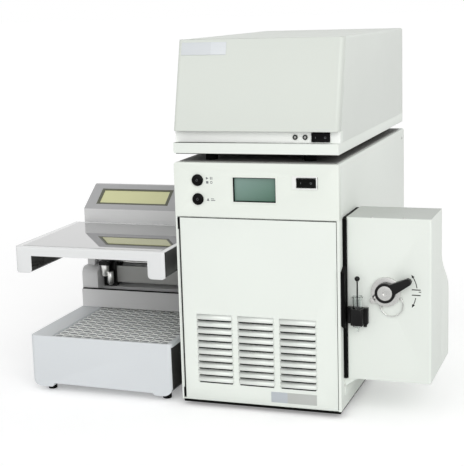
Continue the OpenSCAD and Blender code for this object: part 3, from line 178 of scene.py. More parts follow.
class HplcEdges(bpy.types.PropertyGroup):
    """Radii to which edges are rounded."""

    cover: length("Cover", "Folded edges of the wrapped covers", 0.0009)
    chassis: length("Chassis", "Folded edges of the chassis", 0.0006)
    panel: length("Panel", "Edges of the control panel", 0.0012)
    door: length("Door", "Edges of the door and its windows", 0.0005)
    button: length("Button", "Rims of the buttons", 0.0009)
    rocker: length("Rocker", "Edges of the rockers", 0.0006)
    detector: length("Detector Front", "Edges of the leaning front", 0.0015)
    base: length("Detector Base", "Edges of the detector base", 0.001)
    box: length("Injector Box", "Folded edges of the injector box", 0.0012)
    hump: length("Injector Hump", "Edges of the rear cover", 0.0015)
    collector: length("Collector Base", "Edges of the moulded collector base", 0.002)
    column: length("Column", "Edges of the collector column", 0.0012)
    head: length("Head", "Edges of the display head", 0.0018)
    hood: length("Hood", "Edges of the hood", 0.002)
    carriage: length("Carriage", "Edges of the syringe clamp", 0.0008)
    foot: length("Foot", "Rims of the feet", 0.0012)
    badge: length("Badge", "Edges of the badges", 0.00025)
    lever: length("Lever", "Edges of the valve lever", 0.0012)
    machined: length("Machined", "Edges of the machined parts", 0.0005)
    shaded: length("Shaded", "Edge radius that is only shaded", 0.0004)


class HplcDetails(bpy.types.PropertyGroup):
    """Sizes of the small pieces that are added."""

    screw_radius: length("Screw Radius", "Radius of a cover screw's head", 0.0026)
    screw_height: length("Screw Height", "Height of a cover screw's head", 0.0012)
    rim_wire: length("Rim Wire", "Thickness of the bead round a rack hole", 0.0008)
    print_height: length("Print Height", "Thickness of a printed mark", 0.00006)
    line_width: length("Line Width", "Width of a printed line", 0.0013)
    seal_width: length("Seal Width", "Thickness of the display's seal", 0.0012)
    dial_radius: length("Dial Radius", "Radius of the printed dial", 0.0505)
    scale_step: length("Scale Step", "Distance between two graduations", 0.0025)
    scale_count: count("Scale Count", "Graduations on the syringe barrel", 17)
    scale_radius: length("Scale Radius", "Radius of the graduations", 0.00752)
    scale_line: length("Scale Line", "Thickness of a graduation", 0.00012)
    rack_columns: count("Rack Columns", "Holes along the rack's width", 12)
    rack_rows: count("Rack Rows", "Holes along the rack's depth", 12)
    rack_pitch: length("Rack Pitch", "Distance between two holes", 0.0185)
    hole_radius: length("Hole Radius", "Radius of the bead round a rack hole", 0.0079)


class HplcForms(bpy.types.PropertyGroup):
    """Sizes of the trims, covers and fittings that are added to the solids."""

    louvre_columns: count("Louvre Columns", "Louvres side by side", 3)
    louvre_rows: count("Louvre Rows", "Louvres one above the other", 10)
    louvre_pitch: length("Louvre Pitch", "Distance between two columns of louvres", 0.0725)
    louvre_rise: length("Louvre Rise", "Distance between two rows of louvres", 0.01205)
    louvre_width: length("Louvre Width", "Width of a louvre", 0.0635)
    louvre_height: length("Louvre Height", "Height of a louvre's window", 0.0088)
    louvre_out: length("Louvre Depth", "How far a louvre's hood stands out from the door", 0.003)
    louvre_sheet: length("Louvre Sheet", "Thickness of a hood's sheet", 0.0008)
    louvre_taper: length("Louvre Taper", "How far a hood's ends slope inwards", 0.003)
    louvre_lap: length("Louvre Lap", "How far a hood reaches above its window", 0.0029)
    # The dark slit below each hood is a black strip: painted shade under the hood's lip.
    louvre_slit: length("Louvre Slit", "Height of the dark slit below a hood", 0.0027)
    # The black tray under the tower stands in for the shade under the casing: painted shade.
    tray_height: length("Tray Height", "Height of the black tray under the tower", 0.0048)
    tray_inset: length("Tray Inset", "How far the tray stands back from the casing", 0.002)
    # The mat under the detector is a grey sheet that darkens the gap: painted shade.
    mat_height: length("Mat Height", "Thickness of the mat under the detector", 0.0012)
    mat_front: length("Mat Front", "Distance of the mat behind the panel's face", 0.012)
    mat_side: length("Mat Side", "Distance of the mat from the cover's sides", 0.006)
    mat_back: length("Mat Back", "Distance of the mat from the cover's back", 0.02)
    # The detector's black underside darkens the gap under it: painted shade.
    under_inset: length("Under Inset", "How far the detector's underside and closure stand in", 0.003)
    guard_height: length("Guard Height", "Height of the guard before the column", 0.0355)
    guard_thickness: length("Guard Thickness", "Thickness of the guard", 0.005)
    # The black strip on the guard stands in for the shadow gap above it: painted shade.
    gasket: length("Gasket", "Height of the black gasket on the guard", 0.0018)
    # The grip's black, standing out of the pad's front, stands in for the shade in the gap by the injector:
    # painted shade.
    grip_front: length("Grip Front", "Distance of the pad's edge behind the tower's face", 0.018)
    grip_reach: length("Grip Reach", "Distance of the pad's grip behind the tower's face", 0.003)
    head_fall: angle("Head Fall", "Fall of the head's top towards the back", 0.2967)
    head_ridge: length("Head Ridge", "Distance of the ridge behind the head's front", 0.061)
    inlay_height: length("Inlay Height", "Thickness of the inlay in the hood's top", 0.0002)


class HplcStudio(bpy.types.PropertyGroup):
    """Light and camera."""

    room_light: amount("Room Light", "Level of the even light round the bench", 0.6)
    key_light: amount("Key Light", "Level of the soft light from the front right", 1.25)
    fill_light: amount("Fill Light", "Level of the soft light from the front left", 0.35)
    floor_glow: amount("Floor Glow", "White that the camera alone sees on the floor", 0.22)
    camera_place: bpy.props.FloatVectorProperty(
        name="Camera Place",
        description="Where the camera stands",
        default=(0.66664, -2.04437, 0.67286),
        size=3,
        subtype="TRANSLATION",
        unit="LENGTH",
    )
    camera_yaw: angle("Camera Yaw", "Turn of the view from straight back", -0.3378)
    camera_pitch: angle("Camera Pitch", "Rise of the view", -0.1927)
    camera_roll: angle("Camera Roll", "Turn about the view", -0.0302)
    camera_lens: amount("Camera Lens", "Focal length in millimetres on a 36 mm sensor", 90.24, 500.0)
    camera_shift: amount("Camera Shift", "Sideways shift of the lens", -0.0027, 1.0, -1.0)


# ---- making things ----


def linear(shown):
    """A screen colour as light, with alpha."""
    light = [c / 12.92 if c <= 0.04045 else ((c + 0.055) / 1.055) ** 2.4 for c in shown]
    return (*light, 1.0)


def toned(shown, share):
    """A screen colour made paler or darker."""
    return [min(1.0, c * share) for c in shown]


def spaced(values):
    """Values under labels that have spaces in place of underscores."""
    return {label.replace("_", " "): value for label, value in values.items()}


class Graph:
    """A node tree that takes one call for each node."""

    def __init__(self, tree):
        self.tree = tree
        self.entry = None
        self.named = {}

    def __getitem__(self, label):
        """An input of the tree as a socket."""
        return self.entry.outputs[label]

    def fill(self, node, values):
        """Links the values that are sockets to a node's inputs and sets the others."""
        for name, value in values.items():
            if isinstance(value, bpy.types.NodeSocket):
                self.tree.links.new(value, node.inputs[name])
            else:
                node.inputs[name].default_value = value

    def add(self, kind, values=None, **settings):
        """Adds a node."""
        node = self.tree.nodes.new(kind)
        for name, setting in settings.items():
            setattr(node, name, setting)
        self.fill(node, values or {})
        return node

    def end(self, result):
        """Puts the result out; gives the tree."""
        self.add("NodeGroupOutput", {0: result})
        return self.tree

    def math(self, operation, first, second=0.0):
        """The result of one sum."""
        return self.add("ShaderNodeMath", {0: first, 1: second}, operation=operation).outputs[0]

    def vector(self, operation, first, second):
        """A node that does one sum with vectors."""
        return self.add("ShaderNodeVectorMath", {0: first, 1: second}, operation=operation)

    def scaled(self, vector, factor):
        """A vector or colour times a number."""
        return self.add("ShaderNodeVectorMath", {0: vector, "Scale": factor}, operation="SCALE").outputs[0]

    def noise(self, place, scale, detail, **more):
        """A noise pattern."""
        values = {"Vector": place, "Scale": scale, "Detail": detail, **more}
        return self.add("ShaderNodeTexNoise", values).outputs[0]

    def ranged(self, value, **ends):
        """A value brought from one range to another."""
        return self.add("ShaderNodeMapRange", {"Value": value, **spaced(ends)}).outputs[0]

    def mixed(self, factor, first, second):
        """Two colours mixed by a factor."""
        return self.add("ShaderNodeMix", {0: factor, 6: first, 7: second}, data_type="RGBA").outputs[2]

    def bump(self, height, depth, strength, **more):
        """A normal that follows a height."""
        values = {"Strength": strength, "Distance": depth, "Height": height, **more}
        return self.add("ShaderNodeBump", values).outputs[0]

    def circle(self, radius, steps):
        """A round path."""
        values = {"Resolution": steps, "Radius": radius}
        return self.add("GeometryNodeCurvePrimitiveCircle", values).outputs[0]

    def wire(self, path, radius, steps, caps=False):
        """A round wire along a path."""
        values = {"Curve": path, "Profile Curve": self.circle(radius, steps), "Fill Caps": caps}
        return self.add("GeometryNodeCurveToMesh", values).outputs[0]

    def row(self, number, axis, step, start=(0.0, 0.0, 0.0)):
        """Points in a straight row along an axis."""
        offset = self.add("ShaderNodeCombineXYZ", {axis: step}).outputs[0]
        values = {"Count": number, "Start Location": start, "Offset": offset}
        return self.add("GeometryNodeMeshLine", values).outputs[0]

    def on_points(self, points, instance, **more):
        """Instances of a geometry on points."""
        values = {"Points": points, "Instance": instance, **more}
        return self.add("GeometryNodeInstanceOnPoints", values).outputs[0]

    def shape_of(self, label):
        """The geometry of the object that an input names."""
        return self.add("GeometryNodeObjectInfo", {"Object": self[label]}).outputs["Geometry"]


def new_graph(name, family, inputs, output, kind):
    """A tree with one output; an input is given as its kind of socket or, for a value, as its default."""
    tree = bpy.data.node_groups.new(name, family)
    graph = Graph(tree)
    for label, given in inputs.items():
        plain = isinstance(given, float)
        socket = tree.interface.new_socket(label, in_out="INPUT", socket_type=VALUE if plain else given)
        if plain:
            socket.default_value = given
        graph.named[label] = socket.identifier
    tree.interface.new_socket(output, in_out="OUTPUT", socket_type=kind)
    graph.entry = graph.add("NodeGroupInput")
    return graph


def geometry_graph(name, values):
    """A geometry tree that takes a geometry, a finish and the values that are named, which may be objects."""
    kinds = {label: KINDS.get(type(value), OBJECT) for label, value in values.items()}
    inputs = {"Geometry": GEOMETRY, **kinds, "Finish": MATERIAL}
    return new_graph(name, "GeometryNodeTree", inputs, "Geometry", GEOMETRY)


def shader_graph(name, inputs, output, kind):
    """A shader group."""
    return new_graph(name, "ShaderNodeTree", inputs, output, kind)


def home():
    """The tower's lower left front corner on the bench."""
    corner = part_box("control_panel")[0]
    return Vector((corner.x, corner.y, 0.0))


def at(x, y, z):
    """A place in millimetres from the tower's lower left front corner."""
    return home() + Vector((x, y, z)) * MM


def linked(name, data):
    """An object in the scene."""
    thing = bpy.data.objects.new(name, data)
    bpy.context.scene.collection.objects.link(thing)
    return thing


def new_piece(name, mesh, body, slot):
    """A mesh as a piece that rides on a body."""
    piece = linked(name, mesh)
    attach(piece, body)
    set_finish(piece, slot)
    return piece


def mesh_of(work, name):
    """A bmesh as a mesh with outward normals."""
    bmesh.ops.recalc_face_normals(work, faces=work.faces)
    mesh = bpy.data.meshes.new(name)
    work.to_mesh(mesh)
    work.free()
    return mesh


def bake(piece):
    """Puts what the modifiers make into the mesh."""
    graph = bpy.context.evaluated_depsgraph_get()
    made = piece.evaluated_get(graph)
    mesh = bpy.data.meshes.new_from_object(made, preserve_all_data_layers=True, depsgraph=graph)
    piece.modifiers.clear()
    piece.data = mesh


SHARP = math.radians(32.0)
ROUNDING_STEPS = 3


def round_edges(piece, radius):
    """Rounds the sharp edges of a piece."""
    piece.data.shade_smooth()
    edge = piece.modifiers.new("Edge", "BEVEL")
    edge.width = radius
    edge.segments = ROUNDING_STEPS
    edge.limit_method = "ANGLE"
    edge.angle_limit = SHARP
    edge.harden_normals = True
    edge.use_clamp_overlap = True
    bake(piece)


BAND_SETBACK, BAND_RISE, BAND_END, BAND_PLAY = 12 * MM, 16 * MM, 5 * MM, 0.5 * MM


def band_to_sides(work):
    """Brings the ends of the detector's band flush with its sides."""
    low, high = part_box("detector_base")
    for corner in work.verts:
        if abs(corner.co.y - low.y - BAND_SETBACK) < BAND_PLAY and corner.co.z > low.z + BAND_RISE:
            if corner.co.x < low.x + BAND_END:
                corner.co.x = low.x
            if corner.co.x > high.x - BAND_END:
                corner.co.x = high.x


def falling_top(work):
    """Lets the head's top fall away behind its ridge."""
    low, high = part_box("collector_head")
    forms = bpy.context.scene.hplc_forms
    ridge = Vector((low.x, low.y + forms.head_ridge, high.z))
    slope = (0.0, math.sin(forms.head_fall), math.cos(forms.head_fall))
    parts = work.verts[:] + work.edges[:] + work.faces[:]
    cut = bmesh.ops.bisect_plane(work, geom=parts, plane_co=ridge, plane_no=slope, clear_outer=True)
    rim = [part for part in cut["geom_cut"] if isinstance(part, bmesh.types.BMEdge)]
    bmesh.ops.edgeloop_fill(work, edges=rim)


RESHAPED = {"detector_base": band_to_sides, "collector_head": falling_top}
SAME_PLACE = 0.000002
SAME_PLANE = math.radians(0.3)


def softened(node, radius):
    """A CAD node with its sharp edges rounded, in the node's place."""
    source = frame["nodes"][node]
    work = bmesh.new()
    work.from_mesh(source.data)
    bmesh.ops.remove_doubles(work, verts=work.verts, dist=SAME_PLACE)
    bmesh.ops.dissolve_limit(work, angle_limit=SAME_PLANE, verts=work.verts, edges=work.edges)
    if node in RESHAPED:
        RESHAPED[node](work)
    piece = linked(node + "_soft", mesh_of(work, node + "_soft"))
    round_edges(piece, radius)
    piece.data.materials.clear()
    slot = source.data.materials[0].name
    piece.data.materials.append(source.data.materials[0])
    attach(piece, source["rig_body"])
    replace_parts(piece, node)
    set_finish(piece, slot.split(".")[0])


def block(work, low, high):
    """Adds a box between two corners to a bmesh."""
    low, high = Vector(low), Vector(high)
    place = Matrix.Translation((low + high) / 2) @ Matrix.Diagonal((*(high - low), 1.0))
    bmesh.ops.create_cube(work, size=1.0, matrix=place)


def solid(work, rings):
    """Adds the solid that a stack of like rings of corners spans."""
    rings = [[work.verts.new(corner) for corner in ring] for ring in rings]
    work.faces.new(rings[0])
    work.faces.new(rings[-1][::-1])
    for lower, upper in zip(rings, rings[1:]):
        for n in range(len(lower)):
            m = (n + 1) % len(lower)
            work.faces.new((lower[n], lower[m], upper[m], upper[n]))


def prism(work, x0, x1, profile):
    """Adds a profile in Y and Z, drawn out along X, in millimetres from the tower's corner."""
    solid(work, [[at(x, y, z) for y, z in profile] for x in (x0, x1)])


def drum(work, radius, centre, low, high, chamfer=0.5, sides=40):
    """Adds an upright round bar with chamfered ends, in millimetres from the tower's corner."""
    foot = ((radius - chamfer, low), (radius, low + chamfer))
    head = ((radius, high - chamfer), (radius - chamfer, high))
    rings = []
    for reach, height in foot + head:
        points = [polar(reach, 360 * n / sides) for n in range(sides)]
        rings.append([at(centre[0] + x, centre[1] + y, height) for x, y in points])
    solid(work, rings)


def fitting(name, work, body, slot, radius=0.0, node=None):
    """A piece made from a bmesh, with rounded edges, in the place of a CAD node where one is named."""
    piece = new_piece(name, mesh_of(work, name), body, slot)
    if radius:
        round_edges(piece, radius)
    if node:
        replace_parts(piece, node)
    return piece


def plate(name, low, high, body, slot, radius=0.0, node=None):
    """A box between two corners as a piece."""
    work = bmesh.new()
    block(work, low, high)
    return fitting(name, work, body, slot, radius, node)


def polar(reach, degrees):
    """The point at a distance and an angle."""
    turn = math.radians(degrees)
    return reach * math.cos(turn), reach * math.sin(turn)


def bar(u0, v0, u1, v1):
    """A flat bar for printing."""
    return [(u0, v0), (u1, v0), (u1, v1), (u0, v1)], [(0, 1, 2, 3)]


def shape(*corners):
    """A flat shape for printing."""
    return list(corners), [tuple(range(len(corners)))]


def arc(u, v, inner, outer, start=0, end=360, steps=24):
    """A flat arc or ring for printing, angles in degrees."""
    points = []
    for step in range(steps + 1):
        for reach in (inner, outer):
            x, y = polar(reach, start + (end - start) * step / steps)
            points.append((u + x, v + y))
    return points, [(2 * n, 2 * n + 1, 2 * n + 3, 2 * n + 2) for n in range(steps)]


def printed(name, shapes, origin, body, slot):
    """Thin printed shapes, in millimetres, on a front through origin, sunk into it by half their height."""
    height = bpy.context.scene.hplc_details.print_height
    work = bmesh.new()
    for points, faces in shapes:
        corners = [work.verts.new(origin + Vector((u * MM, -height, v * MM))) for u, v in points]
        for face in faces:
            work.faces.new([corners[n] for n in face])
    raised = bmesh.ops.extrude_face_region(work, geom=work.faces[:], use_keep_orig=True)
    lower = [v for v in raised["geom"] if isinstance(v, bmesh.types.BMVert)]
    bmesh.ops.translate(work, verts=lower, vec=(0, 1.5 * height, 0))
    return new_piece(name, mesh_of(work, name), body, slot)


def front_of(node):
    """The middle of a node's front, and its width in millimetres."""
    low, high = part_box(node)
    middle = (low + high) / 2
    middle.y = low.y
    return middle, (high.x - low.x) / MM


def end_growth(graph, geometry):
    """Ends a geometry tree with real meshes that carry its finish."""
    real = graph.add("GeometryNodeRealizeInstances", {"Geometry": geometry})
    painted = graph.add("GeometryNodeSetMaterial", {"Geometry": real.outputs[0], "Material": graph["Finish"]})
    graph.end(painted.outputs[0])


def grown(name, graph, values, body, slot, start=None):
    """A piece that a geometry tree grows, from a mesh where one is given."""
    piece = linked(name, bpy.data.meshes.new(name + "_start") if start is None else start)
    modifier = piece.modifiers.new("Grow", "NODES")
    modifier.node_group = graph.tree
    modifier[graph.named["Finish"]] = bpy.data.materials.new(name + "_finish")
    for label, value in values.items():
        modifier[graph.named[label]] = value
    bake(piece)
    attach(piece, body)
    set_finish(piece, slot)
    return piece


# ---- finishes ----


def tone_drift_group():
    """Colour that drifts slightly over a surface."""
    inputs = {"Colour": COLOUR, "Place": VECTOR, "Amount": 0.03, "Scale": 6.0}
    graph = shader_graph("Tone Drift", inputs, "Colour", COLOUR)
    finer, share, middle, reach = 60.0, 0.4, 0.7, 3.0
    broad = graph.noise(graph["Place"], graph["Scale"], 2.0)
    fine = graph.noise(graph["Place"], graph.math("MULTIPLY", graph["Scale"], finer), 3.0)
    both = graph.math("ADD", broad, graph.math("MULTIPLY", fine, share))
    spread = graph.math("MULTIPLY", graph.math("SUBTRACT", both, middle), graph["Amount"])
    factor = graph.math("ADD", graph.math("MULTIPLY", spread, reach), 1.0)
    return graph.end(graph.scaled(graph["Colour"], factor))


def fine_relief_group():
    """The small bumps of a coating or a moulding."""
    inputs = {"Place": VECTOR, "Scale": 900.0, "Depth": 0.00004, "Normal": VECTOR}
    graph = shader_graph("Fine Relief", inputs, "Normal", VECTOR)
    grain = graph.noise(graph["Place"], graph["Scale"], 3.0)
    return graph.end(graph.bump(grain, graph["Depth"], 1.0, Normal=graph["Normal"]))


def handled_group():
    """Roughness that hands and cloths have changed in places."""
    inputs = {"Place": VECTOR, "Roughness": 0.4, "Spread": 0.12}
    graph = shader_graph("Handled", inputs, "Roughness", VALUE)
    share, middle = 0.35, 0.67
    smudge = graph.noise(graph["Place"], 22.0, 5.0, Distortion=0.6)
    wipe = graph.noise(graph["Place"], 180.0, 2.0)
    both = graph.math("ADD", smudge, graph.math("MULTIPLY", wipe, share))
    offset = graph.math("MULTIPLY", graph.math("SUBTRACT", both, middle), graph["Spread"])
    return graph.end(graph.math("ADD", graph["Roughness"], offset))


def worn_edge_group():
    """Mask of the edges that wear first."""
    graph = shader_graph("Worn Edge", {"Place": VECTOR, "Radius": 0.0008}, "Mask", VALUE)
    rounded = graph.add("ShaderNodeBevel", {"Radius": graph["Radius"]}, samples=4)
    flat = graph.add("ShaderNodeNewGeometry")
    along = graph.vector("DOT_PRODUCT", rounded.outputs[0], flat.outputs["True Normal"])
    turned = graph.math("SUBTRACT", 1.0, along.outputs["Value"])
    broken = graph.noise(graph["Place"], 140.0, 4.0)
    return graph.end(graph.ranged(graph.math("MULTIPLY", turned, broken), From_Min=0.03, From_Max=0.22))


def settled_dust_group():
    """Mask of the fine dust on faces that look up."""
    graph = shader_graph("Settled Dust", {"Place": VECTOR, "Amount": 0.2}, "Mask", VALUE)
    facing = graph.add("ShaderNodeNewGeometry")
    parts = graph.add("ShaderNodeSeparateXYZ", {0: facing.outputs["Normal"]})
    upward = graph.ranged(parts.outputs["Z"], From_Min=0.6, From_Max=0.98)
    cloud = graph.noise(graph["Place"], 14.0, 6.0)
    speck = graph.noise(graph["Place"], 1400.0, 1.0)
    thickness = 3.0
    laid = graph.math("MULTIPLY", graph.math("MULTIPLY", cloud, speck), upward)
    return graph.end(graph.math("MULTIPLY", graph.math("MULTIPLY", laid, graph["Amount"]), thickness))


def side_mask_group():
    """Mask of the faces that look one way, inside a box, where light or shade is painted."""
    inputs = {"Place": VECTOR, "Towards": VECTOR, "Least": 0.85, "Low": VECTOR, "High": VECTOR}
    graph = shader_graph("Side Mask", inputs, "Mask", VALUE)
    flat = graph.add("ShaderNodeNewGeometry")
    along = graph.vector("DOT_PRODUCT", flat.outputs["True Normal"], graph["Towards"])
    above = graph.vector("SUBTRACT", graph["Place"], graph["Low"])
    below = graph.vector("SUBTRACT", graph["High"], graph["Place"])
    inside = graph.vector("MINIMUM", above.outputs[0], below.outputs[0])
    parts = graph.add("ShaderNodeSeparateXYZ", {0: inside.outputs[0]}).outputs
    least = graph.math("MINIMUM", graph.math("MINIMUM", parts["X"], parts["Y"]), parts["Z"])
    turned = graph.math("GREATER_THAN", along.outputs["Value"], graph["Least"])
    return graph.end(graph.math("MULTIPLY", turned, graph.math("GREATER_THAN", least, 0.0)))


def drawn_streaks_group():
    """Streaks of brushed or turned metal along one direction."""
    inputs = {"Place": VECTOR, "Stretch": VECTOR, "Scale": 300.0}
    graph = shader_graph("Drawn Streaks", inputs, "Value", VALUE)
    drawn = graph.vector("MULTIPLY", graph["Place"], graph["Stretch"])
    return graph.end(graph.noise(drawn.outputs[0], graph["Scale"], 4.0, Roughness=0.7))


GROUPS = (
    tone_drift_group,
    fine_relief_group,
    handled_group,
    worn_edge_group,
    settled_dust_group,
    drawn_streaks_group,
    side_mask_group,
)


def cleared(owner):
    """The empty node tree of a material or a world."""
    owner.use_nodes = True
    owner.node_tree.nodes.clear()
    return owner.node_tree


class Finish(Graph):
    """A material with one shader."""

    def __init__(self, name):
        self.material = bpy.data.materials.new(name)
        super().__init__(cleared(self.material))
        self.shader = self.add("ShaderNodeBsdfPrincipled")
        self.add("ShaderNodeOutputMaterial", {"Surface": self.shader.outputs[0]})
        self.place = self.add("ShaderNodeTexCoord").outputs["Object"]

    def use(self, name, **values):
        """The result of one of the shared shader groups."""
        tree = bpy.data.node_groups[name]
        return self.add("ShaderNodeGroup", {"Place": self.place, **values}, node_tree=tree).outputs[0]

    def soft_normal(self):
        """The normal over edges that are shaded as if they were rounded."""
        radius = bpy.context.scene.hplc_edges.shaded
        return self.add("ShaderNodeBevel", {"Radius": radius}, samples=4).outputs[0]

    def shade(self, values):
        """Fills the shader's inputs; gives the material."""
        self.fill(self.shader, values)
        return self.material


ANYWHERE = (-9.0, -9.0, -9.0), (9.0, 9.0, 9.0)
ANY_WAY, EVEN = (0.0, 0.0, 0.0), (1.0, 1.0, 1.0)
FACING, ALWAYS = 0.85, -0.5
DUST = (0.55, 0.54, 0.51, 1.0)

# Roughness, scale and depth of the grain, then drift, wear, dust and clear coat where they differ.
SURFACES = {
    "powder": (0.42, 1100.0, 0.00004),
    "wrap": (0.45, 1000.0, 0.00005),
    "moulding": (0.38, 1500.0, 0.00002),
    "rubber": (0.72, 700.0, 0.00008, 0.08, 0.1, 0.03),
    "mat": (0.6, 700.0, 0.00008, 0.05, 0.1, 0.1),
    "black": (0.36, 1300.0, 0.00003, 0.06, 0.2, 0.05),
    "gloss": (0.18, 900.0, 0.000006, 0.04, 0.15, 0.02),
    "white": (0.3, 1300.0, 0.00001),
    "beads": (0.25, 1200.0, 0.00001, 0.01),
    "bezel": (0.35, 1300.0, 0.00001),
    "casting": (0.55, 500.0, 0.00012, 0.05),
    "polymer": (0.4, 900.0, 0.00002),
    "hood": (0.09, 60.0, 0.00003, 0.01, 0.1, 0.05, 0.4),
    "lid": (0.02, 60.0, 0.000005, 0.01, 0.0, 0.02, 1.0),
    "collector": (0.4, 1000.0, 0.00004),
    "column": (0.42, 1000.0, 0.00004),
    "rack": (0.35, 1200.0, 0.00001, 0.02),
    "back": (0.4, 900.0, 0.00003),
}


def coated(name, shown, surface, sides=(), **fixed):
    """A painted, moulded or rubber finish; sides are painted light and shade, tones of the faces that look one
    way inside a box.
    """
    return coat(name, shown, sides, fixed, *SURFACES[surface])


def coat(name, shown, sides, fixed, roughness, relief, depth, drift=0.015, wear=0.25, dust=0.15, clear=0.0):
    """The material of a coated finish."""
    paler, lift, touch, dull, gloss = 1.08, 0.03, 0.3, 0.4, 0.06
    finish = Finish(name)
    tone = finish.use("Tone Drift", Colour=linear(shown), Amount=drift)
    rubbed = [min(1.0, c * paler + lift) for c in shown]
    worn = finish.math("MULTIPLY", finish.use("Worn Edge"), wear)
    tone = finish.mixed(worn, tone, linear(rubbed))
    dusty = finish.use("Settled Dust", Amount=dust)
    tone = finish.mixed(dusty, tone, DUST)
    # Painted light and shade on the faces that the sides name.
    for side, towards, (low, high) in sides:
        least = FACING if any(towards) else ALWAYS
        mask = finish.use("Side Mask", Towards=towards, Least=least, Low=low, High=high)
        tone = finish.mixed(mask, tone, linear(side))
    touched = finish.use("Handled", Roughness=roughness, Spread=roughness * touch)
    values = {
        "Base Color": tone,
        "Roughness": finish.math("ADD", touched, finish.math("MULTIPLY", dusty, dull)),
        "Normal": finish.use("Fine Relief", Scale=relief, Depth=depth, Normal=finish.soft_normal()),
        "Coat Weight": clear,
        "Coat Roughness": gloss,
        **spaced(fixed),
    }
    return finish.shade(values)


def metal(name, shown, roughness, stretch, scale, depth=0.00001, along=0.4):
    """A bare metal with drawn streaks."""
    darker, middle, streaked, touch, relief = 0.86, 0.5, 0.2, 0.5, 0.6
    finish = Finish(name)
    streaks = finish.use("Drawn Streaks", Stretch=stretch, Scale=scale)
    tone = finish.use("Tone Drift", Colour=linear(shown), Amount=0.04, Scale=30.0)
    touched = finish.use("Handled", Roughness=roughness, Spread=roughness * touch)
    drawn = finish.math("MULTIPLY", finish.math("SUBTRACT", streaks, middle), streaked)
    values = {
        "Base Color": finish.mixed(finish.math("MULTIPLY", streaks, 0.5), tone, linear(toned(shown, darker))),
        "Metallic": 1.0,
        "Anisotropic": along,
        "Roughness": finish.math("ADD", touched, drawn),
        "Normal": finish.bump(streaks, depth, relief, Normal=finish.soft_normal()),
    }
    return finish.shade(values)


def display(name, light, dark, low, high):
    """A display whose tone falls from its upper left to its lower right as painted shading across the glass,
    with a faint grid of dots.
    """
    dot, dot_share, dot_tone, dot_level = 0.0006, 0.82, 1.15, 0.10
    finish = Finish(name)
    parts = finish.add("ShaderNodeSeparateXYZ", {0: finish.place}).outputs
    across = finish.math("DIVIDE", finish.math("SUBTRACT", parts["X"], low.x), high.x - low.x)
    down = finish.math("DIVIDE", finish.math("SUBTRACT", high.z, parts["Z"]), high.z - low.z)
    fall = finish.math("ADD", finish.math("MULTIPLY", across, 0.5), finish.math("MULTIPLY", down, 0.5))
    tone = finish.mixed(fall, linear(light), linear(dark))
    grid = []
    for socket in (parts["X"], parts["Z"]):
        step = finish.math("FRACT", finish.math("DIVIDE", socket, dot))
        grid.append(finish.math("GREATER_THAN", step, dot_share))
    lines = finish.math("MULTIPLY", finish.math("MAXIMUM", *grid), dot_level)
    tone = finish.mixed(lines, tone, linear(toned(light, dot_tone)))
    values = {
        "Base Color": finish.use("Tone Drift", Colour=tone, Amount=0.02, Scale=20.0),
        "Roughness": finish.use("Handled", Roughness=0.12, Spread=0.05),
        "Coat Weight": 0.6,
        "Coat Roughness": 0.04,
    }
    return finish.shade(values)


def glass(name):
    """Clear glass with faint smears."""
    finish = Finish(name)
    values = {
        "Base Color": (0.93, 0.96, 0.95, 1.0),
        "Transmission Weight": 1.0,
        "IOR": 1.47,
        "Roughness": finish.use("Handled", Roughness=0.03, Spread=0.05),
    }
    return finish.shade(values)


def spangled(name, shown):
    """Zinc-coated sheet with its crystals."""
    finish = Finish(name)
    cells = finish.add("ShaderNodeTexVoronoi", {"Vector": finish.place, "Scale": 90.0}).outputs
    bright = finish.ranged(cells["Color"], To_Min=0.8, To_Max=1.05)
    values = {
        "Base Color": finish.scaled(linear(shown)[:3], bright),
        "Metallic": 0.85,
        "Roughness": finish.ranged(cells["Distance"], To_Min=0.32, To_Max=0.5),
        "Normal": finish.use("Fine Relief", Scale=700.0, Depth=0.00001, Normal=finish.soft_normal()),
    }
    return finish.shade(values)


def split_plate(name, left, right, edge_x):
    """A blank metal plate with a tinted left field."""
    finish = Finish(name)
    parts = finish.add("ShaderNodeSeparateXYZ", {0: finish.place})
    beyond = finish.math("GREATER_THAN", parts.outputs["X"], edge_x)
    tone = finish.mixed(beyond, linear(left), linear(right))
    streaks = finish.use("Drawn Streaks", Stretch=(0.03, 1.0, 1.0), Scale=700.0)
    values = {
        "Base Color": finish.mixed(finish.math("MULTIPLY", streaks, 0.25), tone, linear(toned(right, 0.85))),
        "Metallic": 0.25,
        "Roughness": finish.use("Handled", Roughness=0.34, Spread=0.1),
        "Normal": finish.bump(streaks, 0.00001, 0.4),
    }
    return finish.shade(values)


# Zones where shade or light is painted, in the door's gaps, on the lit band and on the collector's side: two
# corners in millimetres from the tower's corner.
ZONES = {
    "hinge": ((5.3, -5, 14.5), (7.5, 14, 328.5)),
    "left_gap": ((1.5, 0.6, 14.5), (4.8, 14, 328.5)),
    "right_gap": ((274.4, 0.6, 14.5), (278, 14, 328.5)),
    "top_gap": ((0, 0.6, 327.9), (280, 14, 329)),
    "band": ((-1, 12, 453.5), (281, 16, 472)),
    "base_side": ((-27, 0, 0), (-20, 440, 97)),
}
# The lean of the display head's face, and the share of the door's badge that is blue.
HEAD_LEAN, BLUE_SHARE = math.radians(35.1), 0.36


def within(name):
    """The two corners of a zone."""
    low, high = ZONES[name]
    return at(*low), at(*high)


